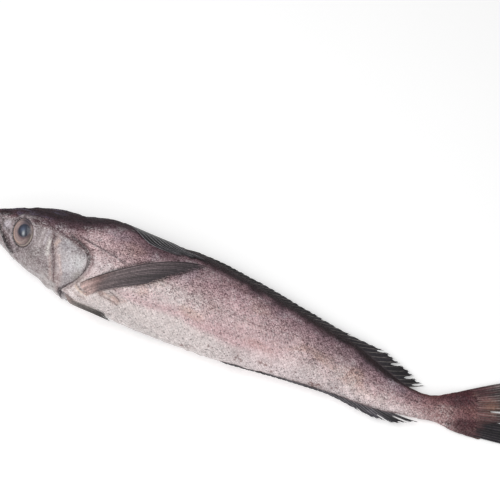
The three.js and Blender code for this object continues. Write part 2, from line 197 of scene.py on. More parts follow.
# Spacing of the skin's rows on the snout, head and trunk, and columns on each side: under 200,000
# triangles in all.
SNOUT_STEP, HEAD_STEP, TRUNK_STEP = 0.25, 0.45, 1.2
SIDE_COLUMNS = 85

# ------------------------------------------------------------------ colours, sRGB

# From the belly's edge at -1 to the back's at 1.
SKIN_STOPS = [
    (-0.8, "#dccdce"), (-0.5, "#dcc8c8"), (-0.1, "#dec4c5"), (0.25, "#d1b3b6"), (0.5, "#bb9ca2"),
    (0.72, "#947880"), (0.85, "#4a3840"), (0.94, "#1f171b"),
]

# Dark specks: size in mm, strength, and the share of cells that hold one where they are thickest.
SPECKS = ((0.7, 0.6, 0.9), (1.1, 0.75, 0.6), (2.6, 0.45, 0.35))


# ------------------------------------------------------------------ small mathematics


def lerp(a, b, t):
    return a + (b - a) * t


def smooth(x, low, high):
    t = np.clip((np.asarray(x, float) - low) / (high - low), 0, 1)
    return t * t * (3 - 2 * t)


def bell(x, width):
    return np.exp(-((x / width) ** 2))


def through(table, column, x):
    """The same smooth curve through a table's column as the solids use."""
    xs, ys = table[:, 0], table[:, column]
    width = np.diff(xs)
    slope = np.diff(ys) / width
    before, after = slope[:-1], slope[1:]
    product = before * after
    total = np.where(product > 0, before + after, 1.0)
    inner = np.where(product > 0, 2 * product / total, 0.0)
    tangent = np.concatenate([[slope[0]], inner, [slope[-1]]])
    x = np.clip(np.asarray(x, float), xs[0], xs[-1])
    i = np.clip(np.searchsorted(xs, x, side="right") - 1, 0, len(xs) - 2)
    t = (x - xs[i]) / width[i]
    low, high = ys[i], ys[i + 1]
    return (
        low * (1 + 2 * t) * (1 - t) ** 2
        + high * t * t * (3 - 2 * t)
        + width[i] * (tangent[i] * t * (1 - t) ** 2 - tangent[i + 1] * t * t * (1 - t))
    )


def cloud(points, size, seed):
    """Smooth random values from -1 to 1 at points (N, 3), in lumps of the given size in mm."""
    lattice = np.random.default_rng(seed).uniform(-1, 1, (32, 32, 32))
    grid = np.asarray(points, float) / size
    cell = np.floor(grid).astype(int)
    part = grid - cell
    part = part * part * (3 - 2 * part)
    value = 0.0
    for corner in np.ndindex(2, 2, 2):
        weight = 1.0
        index = []
        for axis in range(3):
            weight = weight * (part[..., axis] if corner[axis] else 1 - part[..., axis])
            index.append((cell[..., axis] + corner[axis]) % 32)
        value = value + weight * lattice[tuple(index)]
    return value


def clouds(points, size, seed, octaves=3):
    return sum(cloud(points, size / 2**k, seed + k) / 2**k for k in range(octaves))


def linear(colour):
    """sRGB hex to linear RGB."""
    values = np.array([int(colour[i : i + 2], 16) / 255 for i in (1, 3, 5)])
    return np.where(values <= 0.04045, values / 12.92, ((values + 0.055) / 1.055) ** 2.4)


def stain(tint, colour, mask):
    """Mixes a colour into (N, 3) linear colours where the mask is 1."""
    mask = np.clip(mask, 0, 1)[..., None]
    return tint * (1 - mask) + linear(colour) * mask


def layered(tint, *layers):
    """Stains the tint with one colour after the other; each layer is a colour and its mask."""
    for colour, mask in layers:
        tint = stain(tint, colour, mask)
    return tint


def ramp(x, stops):
    places = [p for p, _ in stops]
    colours = np.array([linear(c) for _, c in stops])
    return np.stack([np.interp(x, places, colours[:, k]) for k in range(3)], -1)


def curve_points(line, count=40):
    """A line of a few (s, v) points, made smooth."""
    table = np.array(line, float)
    run = np.concatenate([[0], np.cumsum(np.hypot(*np.diff(table, axis=0).T))])
    along = np.linspace(0, run[-1], count)
    rows = np.column_stack([run, table])
    return np.column_stack([through(rows, 1, along), through(rows, 2, along)])


def track(s, v, line):
    """Signed distance to a line, positive above it, and how far along it the nearest point is."""
    points = curve_points(line)
    best = np.full(np.shape(s), 1e9)
    signed = np.zeros(np.shape(s))
    share = np.zeros(np.shape(s))
    last = len(points) - 1
    for i in range(last):
        start, step = points[i], points[i + 1] - points[i]
        ds, dv = s - start[0], v - start[1]
        t = np.clip((ds * step[0] + dv * step[1]) / (step @ step), 0, 1)
        away = np.hypot(ds - t * step[0], dv - t * step[1])
        nearer = away < best
        best = np.where(nearer, away, best)
        signed = np.where(nearer, np.sign(step[0] * dv - step[1] * ds) * away, signed)
        share = np.where(nearer, (i + t) / last, share)
    return signed, share


# ------------------------------------------------------------------ the body's form


def back(s):
    return through(BODY, 1, s)


def belly(s):
    return through(BODY, 2, s)


def half(s):
    return through(BODY, 3, s)


def widest(s):
    return through(BODY, 4, s)


def height(s):
    settled = SETTLED * half(np.maximum(s, HEAD_END))
    return np.where(s < HEAD_END, lerp(SNOUT_HEIGHT, settled, smooth(s, 0, HEAD_END)), settled)


def side(s, v):
    """Half the thickness at station s and distance v from the axis, towards the back if positive."""
    middle = widest(s)
    up = v > middle
    reach = np.where(up, back(s) - middle, belly(s) + middle)
    t = np.minimum(np.abs(v - middle) / reach, 1)
    body = smooth(s, 60, 130)
    roundness = np.where(up, lerp(CROWN_HEAD, CROWN_BODY, body), lerp(KEEL_HEAD, KEEL_BODY, body))
    return half(s) * (1 - t * t) ** (1 / roundness)


def heading(s):
    return np.radians(through(HEADING, 1, s))


AXIS_STEPS = heading(np.arange(AXIS_LENGTH) + 0.5)
AXIS_X = np.concatenate([[0], np.cumsum(np.cos(AXIS_STEPS))])
AXIS_Y = np.concatenate([[0], np.cumsum(np.sin(AXIS_STEPS))])


def place(s, v, z):
    """Station, distance towards the back and height above the surface, to a point before the shift."""
    s, v, z = np.broadcast_arrays(np.asarray(s, float), np.asarray(v, float), np.asarray(z, float))
    angle = heading(s)
    x = np.interp(s, np.arange(AXIS_LENGTH + 1), AXIS_X) + np.minimum(s, 0)
    y = np.interp(s, np.arange(AXIS_LENGTH + 1), AXIS_Y)
    return np.stack([x - v * np.sin(angle), y + v * np.cos(angle), z], -1)


def press(z):
    """Soft flesh never goes below the surface: it spreads flat on it."""
    blended = (z + PRESS_BLEND) ** 2 / (4 * PRESS_BLEND)
    return np.where(z >= PRESS_BLEND, z, np.where(z <= -PRESS_BLEND, 0.0, blended))


def eye_centre(flank):
    out = side(EYE_S, EYE_V) + (EYE_PROUD if flank > 0 else EYE_PRESSED) - EYE_DEPTH
    return place(EYE_S, EYE_V, height(EYE_S) + flank * out)


def eye_axes(flank):
    """Along the head, up the head and out of the eye, which looks forward and towards the belly."""
    ahead, lean, turn = math.radians(EYE_FORWARD), math.radians(EYE_LEAN), float(heading(EYE_S))
    fall, rise = math.sin(lean), math.cos(lean)
    along = np.array([math.cos(ahead), 0, flank * math.sin(ahead)])
    up = np.array([-fall * math.sin(ahead), rise, flank * fall * math.cos(ahead)])
    out = np.array([-rise * math.sin(ahead), -fall, flank * rise * math.cos(ahead)])
    spin = np.array([
        [math.cos(turn), -math.sin(turn), 0],
        [math.sin(turn), math.cos(turn), 0],
        [0, 0, 1],
    ])
    return spin @ along, spin @ up, spin @ out


def frame_shift():
    """From the snout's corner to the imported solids' frame, read from the left eye's box."""
    low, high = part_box("eye_left")
    middle = np.array((low + high) / 2) / MM
    shift = middle - eye_centre(1)
    return np.array([shift[0], shift[1], 0.0])


SHIFT = frame_shift()


# ------------------------------------------------------------------ Blender helpers


def mesh_object(name, points, faces, edges=()):
    """A smooth mesh from points in mm before the shift."""
    mesh = bpy.data.meshes.new(name)
    mesh.from_pydata(((points + SHIFT) * MM).tolist(), list(edges), faces)
    mesh.shade_smooth()
    piece = bpy.data.objects.new(name, mesh)
    bpy.context.scene.collection.objects.link(piece)
    return piece


def store(mesh, name, kind, values):
    """Puts one value on each vertex."""
    layer = mesh.attributes.new(name, kind, "POINT")
    values = np.asarray(values, float)
    if kind == "FLOAT_COLOR":
        values = np.column_stack([values, np.ones(len(values))])
    key = {"FLOAT": "value", "BOOLEAN": "value", "FLOAT_VECTOR": "vector", "FLOAT_COLOR": "color"}
    if kind == "BOOLEAN":
        values = values > 0.5
    layer.data.foreach_set(key[kind], values.ravel())


def hand_over(piece, node):
    """The piece rides on the one body and stands for the node."""
    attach(piece, "root")
    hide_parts(node)


def add(tree, kind, links=None, **settings):
    """Adds a node; links maps an input to a socket, a node's first output or a value."""
    node = tree.nodes.new(kind)
    for key, value in settings.items():
        setattr(node, key, value)
    for key, value in (links or {}).items():
        if isinstance(value, bpy.types.Node):
            value = value.outputs[0]
        if isinstance(value, bpy.types.NodeSocket):
            tree.links.new(value, node.inputs[key])
        else:
            node.inputs[key].default_value = value
    return node


def new_material(name):
    material = bpy.data.materials.new(name)
    material.use_nodes = True
    tree = material.node_tree
    tree.nodes.clear()
    return material, tree


def rgba(colour):
    return (*linear(colour), 1.0)


# ------------------------------------------------------------------ skin: grid, relief, colour


def gill_edge(v):
    curve = np.where(v > GILL_TIP_V, GILL_UPPER_CURVE, GILL_LOWER_CURVE)
    return GILL_TIP - curve * (v - GILL_TIP_V) ** 2


def cover_front(v):
    """Where the gill cover starts, behind the bent furrow of the cheek."""
    return 77.0 + 12.0 * smooth(-v, -4, 32)


def row_stations():
    rows = [0.0]
    while rows[-1] < FLESH_END - TRUNK_STEP:
        s = rows[-1]
        fine = lerp(SNOUT_STEP, HEAD_STEP, float(smooth(s, 0, 12)))
        rows.append(s + lerp(fine, TRUNK_STEP, float(smooth(s, 116, 160))))
    return np.array([*rows, FLESH_END])


def even_sides(rows):
    """For each row, distances v from the back to the belly, evenly spaced over the skin."""
    turn = np.linspace(0, np.pi, 241)
    columns = np.linspace(0, 1, SIDE_COLUMNS + 1)
    result = []
    for s in rows:
        middle = float(widest(s))
        reach = np.where(turn < np.pi / 2, float(back(s)) - middle, float(belly(s)) + middle)
        v = middle + reach * np.cos(turn)
        u = side(np.full_like(v, s), v)
        u[0] = u[-1] = 0
        run = np.concatenate([[0], np.cumsum(np.hypot(np.diff(v), np.diff(u)))])
        result.append(np.interp(columns * run[-1], run, v))
    return np.array(result)


def skin_grid():
    """Stations s and distances v on a grid whose lines follow the gill cover's free edge."""
    rows = row_stations()
    v = even_sides(rows)
    sigma = np.repeat(rows[:, None], v.shape[1], axis=1)
    held = np.clip(v, GILL_BOTTOM - 5, GILL_TOP + 3)
    fade = (1 - smooth(v, GILL_TOP, GILL_TOP + 18)) * (1 - smooth(-v, -GILL_BOTTOM + 1, 40))
    share = smooth(sigma, 58, GILL_TIP) * (1 - smooth(sigma, GILL_TIP, 158))
    s = sigma + (gill_edge(held) - GILL_TIP) * fade * share
    across = v / np.where(v > 0, back(sigma), belly(sigma))
    s = s + smooth(sigma, 440, FLESH_END) * (3.5 - 9 * across**2 + 0.9 * np.cos(across * 40))
    level = (v + belly(sigma)) / (back(sigma) + belly(sigma))
    v = level * (back(s) + belly(s)) - belly(s)
    return sigma, s, v


def grid_normals(points):
    """Outward normals of the ring grid (rows, columns, 3); columns close on themselves."""
    along = np.gradient(points, axis=0)
    around = np.roll(points, -1, axis=1) - np.roll(points, 1, axis=1)
    normal = np.cross(along, around)
    normal /= np.maximum(np.linalg.norm(normal, axis=-1, keepdims=True), 1e-9)
    return normal


def gill_relief(sigma, s, v):
    """The gill cover: a raised plate, a soft hem behind it and a slit under the hem's free edge."""
    behind = sigma - GILL_TIP
    reach = (1 - smooth(v, GILL_TOP - 3, GILL_TOP + 5)) * smooth(v, GILL_BOTTOM - 4, GILL_BOTTOM + 1)
    start = smooth(s - cover_front(v), 0.2, 4.5)
    plate = start * (behind <= 0) * lerp(1.7, 0.9, smooth(behind, -hem_width(v) - 1, -hem_width(v) + 1))
    slit = -2.6 * bell(np.maximum(behind - 0.3, 0), 2.2) * (behind > 0)
    return (plate + slit) * reach


def hem_width(v):
    """How wide the dark hem of skin behind the gill cover's bone is."""
    return lerp(1.4, 3.6, smooth(v, -22, -6))


def creases(s, v, flank):
    """Depth, and for each furrow or fold its mask, on whichever side has it."""
    depth = np.zeros(np.shape(s))
    masks = []
    for line, width, deep, _, strength, both in CREASES:
        away, run = track(s, v, line)
        ends = smooth(run, 0.0, 0.08) * (1 - smooth(run, 0.9, 1.0))
        mask = bell(away, width) * ends * (1.0 if both else flank > 0)
        depth -= deep * mask
        masks.append(mask * strength)
    return depth, masks


def crown_streaks(points):
    """Long lumps along the crown, the same in its relief and its colour."""
    return clouds(points * [0.22, 1, 1], 5.5, 31)


def head_relief(sigma, s, v, points):
    """Everything that stands out of the head or sinks into it, in mm."""
    relief = gill_relief(sigma, s, v)
    on_head = 1 - smooth(sigma, GILL_TIP - 1, GILL_TIP + 2)
    front = s - cover_front(v)
    # The upper jaw's bone lies over the lower jaw.
    gap, run = track(s, v, MOUTH_LINE)
    open_jaw = 1 - smooth(run, 0.93, 1.0)
    rim, _ = track(s, v, JAW_TOP_LINE)
    bone = smooth(gap, 0.2, 1.0) * (1 - smooth(rim, -1.0, 0.4)) * smooth(s, 1, 6)
    relief += 1.1 * bone * (1 - smooth(s, *JAW_FADE))
    relief += -0.8 * bell(rim - 0.6, 0.9) * (1 - smooth(s, 44, 52)) * smooth(s, 4, 10)
    relief += -2.2 * bell(gap, 0.75) * open_jaw * smooth(s, 0, 1.5)
    relief += -0.7 * smooth(-gap, 0, 1.5) * (1 - smooth(-gap, 5, 10)) * (1 - smooth(s, 44, 60))
    # Two nostrils close together, the bony crown and the dent behind it.
    for hole, deep in NOSTRILS:
        relief += -deep * bell(np.hypot(s - hole, (v - NOSTRIL_V) * 1.25), 1.25)
        relief += 0.35 * bell(np.hypot(s - hole, (v - NOSTRIL_V) * 1.1) - 2.0, 0.6)
    crown, _ = track(s, v, CROWN_LINE)
    above = smooth(crown, 0, 3) * on_head * smooth(s, 16, 30)
    relief += -0.8 * bell(crown - 0.4, 1.5) * on_head * smooth(s, 52, 62)
    relief += 0.55 * crown_streaks(points) * above * (1 - 0.6 * smooth(v / back(s), 0.8, 1.0))
    # Thin bones under the cheek's skin, and the folded membrane below the gill cover.
    cheek = smooth(s, 55, 60) * (1 - smooth(front, -6, -2)) * (1 - smooth(v, 6, 13)) * smooth(v, -27, -18)
    relief += -0.5 * cheek
    throat = smooth(s, 48, 62) * on_head * smooth(-v, 22, 28) * (1 - smooth(-v, 37, 42))
    relief += 0.35 * np.sin((v + 0.3 * s) * 1.7 + 0.8 * clouds(points, 16, 38)) * throat
    # The corner of the gill cover hangs over a notch in the throat.
    relief += 0.9 * bell(np.hypot((s - 86) / 1.5, v + 34), 3.5) - 1.6 * bell(np.hypot((s - 96.5) / 0.8, v + 36), 2.6)
    return relief + (0.4 * clouds(points, 7, 41) + 0.16 * cloud(points, 1.9, 47)) * on_head


def trunk_relief(sigma, s, v, points):
    """Soft unevenness of the flank: muscle bands, sags, folds and the vent."""
    behind = smooth(sigma, GILL_TIP + 1, GILL_TIP + 12)
    level = v / np.where(v > 0, back(s), belly(s))
    relief = 0.8 * clouds(points, 46, 51) * behind + 0.3 * clouds(points * [0.6, 1, 1], 10, 55) * behind
    relief += 0.15 * cloud(points, 2.4, 58) * behind
    bands = np.sin((s + 0.5 * np.abs(v) + 3 * clouds(points, 40, 57)) * 2 * np.pi / 8.5)
    relief += 0.10 * bands * behind * smooth(s, 130, 200)
    # The shoulder sinks behind the gill cover; the fin's fleshy root stands out.
    relief += -1.0 * bell(np.hypot((s - 124) / 1.8, v + 8), 7) * behind
    relief += 1.7 * bell(np.hypot((s - 119) / 2.0, v + 27), 4.2) * smooth(sigma, GILL_TIP + 1, GILL_TIP + 4)
    # The wall of the emptied belly falls in below the muscles.
    seam = level + 0.52 + 0.06 * clouds(points, 30, 59)
    relief += -0.9 * bell(seam, 0.09) * behind * (1 - smooth(s, 240, 300)) * smooth(s, 140, 170)
    relief += 1.1 * bell(np.hypot((s - 214) / 2.2, v + 37), 3) - 1.6 * bell(np.hypot((s - 214) / 2, v + 37), 1.3)
    edge = smooth(-level, 0.75, 0.95) * behind * (1 - smooth(s, 300, 360))
    relief += 0.5 * clouds(points * [0.5, 1, 1], 7, 61) * edge
    # Rays of the tail fin show through the skin of its base.
    rays = np.cos(level * 40) * smooth(s, 436, 452)
    return relief + 0.22 * rays


def seat_eye(points, flank):
    """Opens the skin round the eyeball, with a rim that stands a little over it."""
    centre = eye_centre(flank)
    along, up, out = eye_axes(flank)
    local = points - centre
    x, y, level = local @ along, local @ up, local @ out
    radius = np.hypot(x, y)
    ball = EYE_DEPTH * np.sqrt(np.maximum(1 - (radius / EYE_RADIUS) ** 2, 0))
    edge = EYE_DEPTH * math.sqrt(1 - (ORBIT / EYE_RADIUS) ** 2)
    inside = smooth(radius, ORBIT - 0.9, ORBIT + 0.7)
    rim = lerp(ball - 2.4, edge + 0.55 + 0.45 * bell(radius - ORBIT - 1.8, 1.5), inside)
    blend = smooth(radius, ORBIT + 1.2, ORBIT + 6.5)
    near = (radius < ORBIT + 7) & (level > -EYE_DEPTH)
    moved = lerp(rim, level, blend)
    return points + np.where(near, moved - level, 0)[..., None] * out, np.where(near, radius, 99.0)


def patch_mask(s, v, points, centre, reach):
    """1 in the middle of a soft patch with an uneven edge, 0 outside it."""
    away = np.hypot((s - centre[0]) / reach[0], (v - centre[1]) / reach[1])
    return 1 - smooth(away + 0.45 * clouds(points, 5, 73), 0.35, 1.25)


def skin_tint(sigma, s, v, points, eye_radius, flank):
    """The skin's own colour at each point, before specks and scales."""
    level = v / np.where(v > 0, back(s), belly(s))
    drift = 0.22 * smooth(s, 205, 420) + 0.10 * clouds(points, 26, 71) + 0.07 * clouds(points, 7, 75)
    tint = ramp(np.clip(level + drift, -1, 1), SKIN_STOPS)
    fine = (0.12 + 0.2 * smooth(s, 300, 370)) * clouds(points * [0.7, 1, 1], 4.5, 76, 2)
    tint = tint * (1 + 0.14 * clouds(points, 12, 74) + fine)[..., None]
    tint = trunk_tint(tint, sigma, s, v, points, level)
    tint = tail_base_tint(tint, s, points, level)
    tint = head_tint(tint, sigma, s, v, points)
    for centre_s, centre_v, along, across, colour, strength in PATCHES:
        mask = patch_mask(s, v, points, (centre_s, centre_v), (along, across))
        tint = stain(tint, colour, strength * mask * np.where(flank > 0, 1, 0.5))
    # The furrows and folds stain the skin with their colours, a few of them painted shade and painted highlights.
    _, masks = creases(s, v, flank)
    for crease, mask in zip(CREASES, masks):
        tint = stain(tint, crease[3], mask)
    return edge_tint(tint, sigma, s, v, eye_radius)


def trunk_tint(tint, sigma, s, v, points, level):
    """A dark back with painted shade along its top and in a band under the folded first dorsal fin, rosy and lilac
    clouds on the flank, and a whiter belly.
    """
    on_trunk = smooth(sigma, GILL_TIP, GILL_TIP + 2)
    warm = smooth(clouds(points * [0.6, 1, 1], 14, 77), 0.1, 0.8) * bell(level + 0.1, 0.5)
    rosy = smooth(clouds(points, 34, 79), -0.2, 0.7) * bell(level + 0.15, 0.5)
    shaded_back_level = level + 0.02 * cloud(points, 5, 78) + 0.08 * bell(s - 205, 45) - 0.06 * smooth(s, 250, 300)
    below_back = 1 - smooth(level, 0.55, 0.8)
    lilac = smooth(clouds(points, 24, 83), 0.2, 0.8) * smooth(level, 0, 0.4) * below_back
    # A rosy seam between the flank's muscles and the whiter belly.
    seam = level + 0.50 + 0.08 * clouds(points, 28, 59)
    # Bruised red-brown marks along the belly's edge and over the anal fin.
    marks = smooth(clouds(points * [0.6, 1, 1], 5.5, 81) + 0.9 * cloud(points, 1.6, 80), 0.5, 1.05)
    marks = marks * smooth(-level, 0.74, 0.88) * smooth(s, 140, 200) * (1 - smooth(s, 380, 420))
    pale = smooth(clouds(points, 13, 85), 0.25, 0.7) * bell(level + 0.45, 0.35) * smooth(s, 290, 330)
    return layered(
        tint,
        # Painted shadow in a band under the folded first dorsal fin.
        ("#4a343d", 0.45 * bell((s - 168) / 40, 1) * bell(v - 25, 6) * on_trunk),
        ("#cfa48c", 0.5 * warm * on_trunk),
        ("#c7979f", 0.4 * rosy * on_trunk),
        # Nearly black along the back's top behind the shoulder: partly the back's own dark, partly painted shade.
        ("#1c151a", 0.95 * smooth(shaded_back_level, 0.8, 0.9) * smooth(s, 150, 190)),
        ("#b0a3b0", 0.4 * lilac * on_trunk),
        ("#c18c93", 0.4 * bell(seam, 0.13) * smooth(s, 130, 160) * (1 - smooth(s, 250, 310))),
        ("#e2dbd6", 0.45 * smooth(-seam, 0.02, 0.16) * on_trunk * (1 - smooth(s, 215, 290))),
        ("#6f382e", 0.8 * marks),
        ("#8d7b85", 0.3 * smooth(s, 250, 330) * smooth(level, -0.5, 0.3) * below_back),
        ("#cfc3c0", 0.5 * pale * (1 - smooth(s, 395, 420))),
    )


def tail_base_tint(tint, s, points, level):
    """The tail stalk and the red scaly base of the tail fin, with its rays showing through."""
    rays = 0.5 + 0.5 * np.cos(level * 38 + 1.2 * np.sin(level * 9))
    return layered(
        tint,
        ("#965f5e", 0.68 * smooth(s, 385, 425)),
        ("#733f45", 0.75 * smooth(s + 7 * cloud(points, 6, 89), 428, 450)),
        ("#3e2128", 0.7 * smooth(np.abs(level), 0.45, 0.95) * smooth(s, 425, 445)),
        ("#a08a80", 0.6 * rays * smooth(s + 4 * cloud(points, 3, 90), 446, 460)),
        ("#33242a", 0.6 * (1 - rays) * smooth(s + 4 * cloud(points, 3, 92), 446, 462)),
    )


def head_tint(tint, sigma, s, v, points):
    """Silver cheek and gill cover under a dark crown."""
    on_head = 1 - smooth(sigma, GILL_TIP - 0.3, GILL_TIP + 0.6)
    front = s - cover_front(v)
    crown, _ = track(s, v, CROWN_LINE)
    dark, _ = track(s, v, DARK_LINE)
    cheek = on_head * (1 - smooth(crown, -1.5, 2.0))
    cover = cheek * smooth(front, 0.5, 2.5)
    cloudy = clouds(points, 9, 87)
    # The crown: nearly black with violet streaks of painted sheen, browner towards the gill opening.
    brown = smooth(crown, -0.8, 2.5) * (1 - smooth(sigma, 98, 128))
    blood = smooth(clouds(points * [0.35, 1, 1], 6, 84), 0.0, 0.6) * brown
    deep = smooth(dark + 2.5 * clouds(points, 7, 86), -3.5, 2.5) * (1 - smooth(sigma, 128, 160))
    shine = smooth(crown_streaks(points), 0.1, 0.7) * deep * (1 - smooth(s, 60, 84))
    shine = shine * (1 - 0.6 * smooth(v / back(s), 0.85, 1))
    band = bell(crown - 0.8, 2.2) * smooth(s, 52, 64) * (1 - smooth(sigma, 108, 122))
    return layered(
        tint,
        ("#9b8f90", cheek),
        ("#75686a", 0.6 * cheek * smooth(cloudy, 0.0, 0.7)),
        ("#b4a9ae", 0.6 * cheek * smooth(-cloudy, 0.1, 0.7)),
        ("#6a5659", 0.5 * cheek * smooth(clouds(points * [1, 0.4, 1], 3.5, 88), 0.2, 0.8)),
        ("#b5adab", cheek * 0.7 * smooth(-v, 20, 31) * smooth(s, 60, 84)),
        ("#a69ea0", cover * (1 - 0.35 * smooth(v, -4, 8))),
        ("#81777a", 0.6 * cover * smooth(clouds(points * [1, 0.5, 1], 4.5, 82), 0.0, 0.7)),
        ("#cfcbce", 0.5 * cover * smooth(clouds(points * [1, 0.6, 1], 7, 94), 0.0, 0.6)),
        ("#b59d9a", 0.6 * cover * (1 - smooth(front, 2, 9))),
        ("#807478", 0.6 * cover * bell(sigma - GILL_TIP + 6, 5) * smooth(v, -11, -3)),
        ("#57414a", 0.85 * brown),
        ("#7c5255", 0.55 * blood),
        ("#4a3840", 0.85 * deep),
        ("#231b22", 0.94 * deep * smooth(dark + 2 * cloudy, 1.5, 8)),
        ("#716983", 0.6 * shine),
        ("#482c30", 0.9 * band * (0.75 + 0.25 * cloudy)),
    )


def edge_tint(tint, sigma, s, v, eye_radius):
    """Dark edges: lips, nostrils, the gill opening with painted shade in its slit, and the ring of skin round the eye.
    """
    gap, run = track(s, v, MOUTH_LINE)
    rim, _ = track(s, v, JAW_TOP_LINE)
    on_jaw = 1 - smooth(s, *JAW_FADE)
    bone = smooth(gap, 0.2, 1.0) * (1 - smooth(rim, -1.0, 0.4)) * on_jaw
    lower_jaw = smooth(-gap, 0.2, 1.5) * (1 - smooth(s, 46, 60)) * smooth(belly(s) + v, -1, 1)
    behind = sigma - GILL_TIP
    open_gill = (1 - smooth(v, GILL_TOP - 2, GILL_TOP + 4)) * smooth(v, GILL_BOTTOM - 5, GILL_BOTTOM - 1)
    hem = smooth(behind, -hem_width(v) - 0.7, -hem_width(v) + 0.9) * (behind <= 0.3)
    return layered(
        tint,
        ("#85767a", 0.6 * bone),
        ("#857778", 0.5 * lower_jaw),
        ("#231a1e", 0.95 * bell(gap, 0.8) * (1 - smooth(run, 0.94, 1.0))),
        ("#3d3034", 0.8 * bell(rim - 0.5, 0.8) * on_jaw),
        *(("#1d1519", bell(np.hypot(s - hole, (v - NOSTRIL_V) * 1.2), 1.5)) for hole, _ in NOSTRILS),
        ("#453135", 0.88 * open_gill * hem),
        # Painted shade in the slit under the gill cover's free edge.
        ("#23171b", 0.92 * open_gill * bell(np.maximum(behind - 0.2, 0), 1.0) * (behind > -0.2)),
        ("#77585a", 0.5 * open_gill * bell(behind - 2.6, 1.8) * (behind > 0)),
        ("#2a2227", 0.92 * bell(eye_radius - ORBIT - 0.2, 0.8)),
        ("#a5969a", 0.5 * bell(eye_radius - ORBIT - 2.0, 0.8)),
        ("#54464b", 0.4 * bell(eye_radius - ORBIT - 3.4, 0.7)),
    )


def speckle_density(sigma, s, v, points):
    """How thickly dark specks cover the skin: most on the back and shoulder, few on belly and cheek."""
    level = v / np.where(v > 0, back(s), belly(s))
    density = np.interp(level, [-1, -0.7, -0.4, 0.0, 0.4, 0.8, 1], [0.22, 0.10, 0.30, 0.50, 0.78, 1.0, 1.0])
    density = density * (1 + 0.6 * clouds(points, 24, 91) + 0.5 * clouds(points, 7, 95) + 0.5 * cloud(points, 3.2, 97))
    density = density + 0.25 * bell(np.hypot((s - 128) / 2.2, v - 14), 12)
    density = density + 0.4 * bell((s - 168) / 42, 1) * bell(v - 23, 7) + 0.3 * smooth(s, 290, 350)
    density = np.maximum(density, smooth(level, 0.55, 0.75) * smooth(sigma, 120, 160))
    on_head = 1 - smooth(sigma, GILL_TIP - 0.3, GILL_TIP + 0.6)
    density = density * (1 - 0.86 * on_head * (1 - smooth(v, 6, 14)))
    dark, _ = track(s, v, DARK_LINE)
    density = np.maximum(density, smooth(dark, -1, 3) * (1 - smooth(sigma, 150, 190)))
    return np.clip(np.maximum(density, 0.9 * smooth(s, 415, 440)), 0, 1)


def build_skin(settings):
    sigma, s, v = skin_grid()
    u = side(s, v)
    u[:, 0] = u[:, -1] = 0
    run = np.concatenate(
        [np.zeros((len(s), 1)), np.cumsum(np.hypot(np.diff(v, axis=1), np.diff(u, axis=1)), axis=1)], axis=1
    )

    def ring(left, right):
        return np.concatenate([left, right[:, -2:0:-1]], axis=1)

    flank = ring(np.ones_like(s), -np.ones_like(s))
    u *= lerp(1, 0.45, smooth(sigma, 448, FLESH_END))
    sigma, s, v, u, run = (ring(part, part) for part in (sigma, s, v, u, run))
    u = u * flank
    body = np.stack([s, v, u], -1)
    points = place(s, v, press(height(s) + u))
    relief = head_relief(sigma, s, v, body) + trunk_relief(sigma, s, v, body)
    relief += creases(s, v, flank)[0] * (np.hypot(s - EYE_S, v - EYE_V) > ORBIT)
    relief *= smooth(points[..., 2], 0.05, 3.0) * (1 - smooth(s, 452, FLESH_END)) * settings.relief
    points = points + relief[..., None] * grid_normals(points)
    radius = np.full(s.shape, 99.0)
    for eye_side in (1, -1):
        moved, near = seat_eye(points, eye_side)
        points = np.where((flank == eye_side)[..., None], moved, points)
        radius = np.where(flank == eye_side, near, radius)
    points[..., 2] = np.maximum(points[..., 2], 0)
    rows, columns = s.shape
    index = np.arange(rows * columns).reshape(rows, columns)
    following = np.roll(index, -1, axis=1)
    quads = np.stack([index[:-1], following[:-1], following[1:], index[1:]], -1).reshape(-1, 4)
    faces = quads.tolist() + end_faces(index[0], True) + end_faces(index[-1], False)
    piece = mesh_object("skin", points.reshape(-1, 3), faces)
    flat = [part.reshape(-1, *part.shape[2:]) for part in (sigma, s, v, body, radius, flank, run)]
    sigma, s, v, body, radius, flank, run = flat
    mesh = piece.data
    store(mesh, "tint", "FLOAT_COLOR", skin_tint(sigma, s, v, body, radius, flank))
    store(mesh, "speckle", "FLOAT", speckle_density(sigma, s, v, body))
    store(mesh, "scaly", "FLOAT", smooth(sigma, GILL_TIP + 2, GILL_TIP + 12))
    store(mesh, "flow", "FLOAT_VECTOR", np.column_stack([s, run * flank, np.zeros_like(s)]))
    mesh.materials.append(wet_skin(settings))
    hand_over(piece, "hake")


def end_faces(ring, first):
    """Zips a ring shut across the middle plane."""
    count = len(ring)
    faces = [[ring[0], ring[1], ring[count - 1]]]
    for k in range(1, count // 2 - 1):
        faces.append([ring[k], ring[k + 1], ring[count - 1 - k], ring[count - k]])
    faces.append([ring[count // 2 - 1], ring[count // 2], ring[count // 2 + 1]])
    return [[int(i) for i in (face[::-1] if first else face)] for face in faces]


# ------------------------------------------------------------------ materials


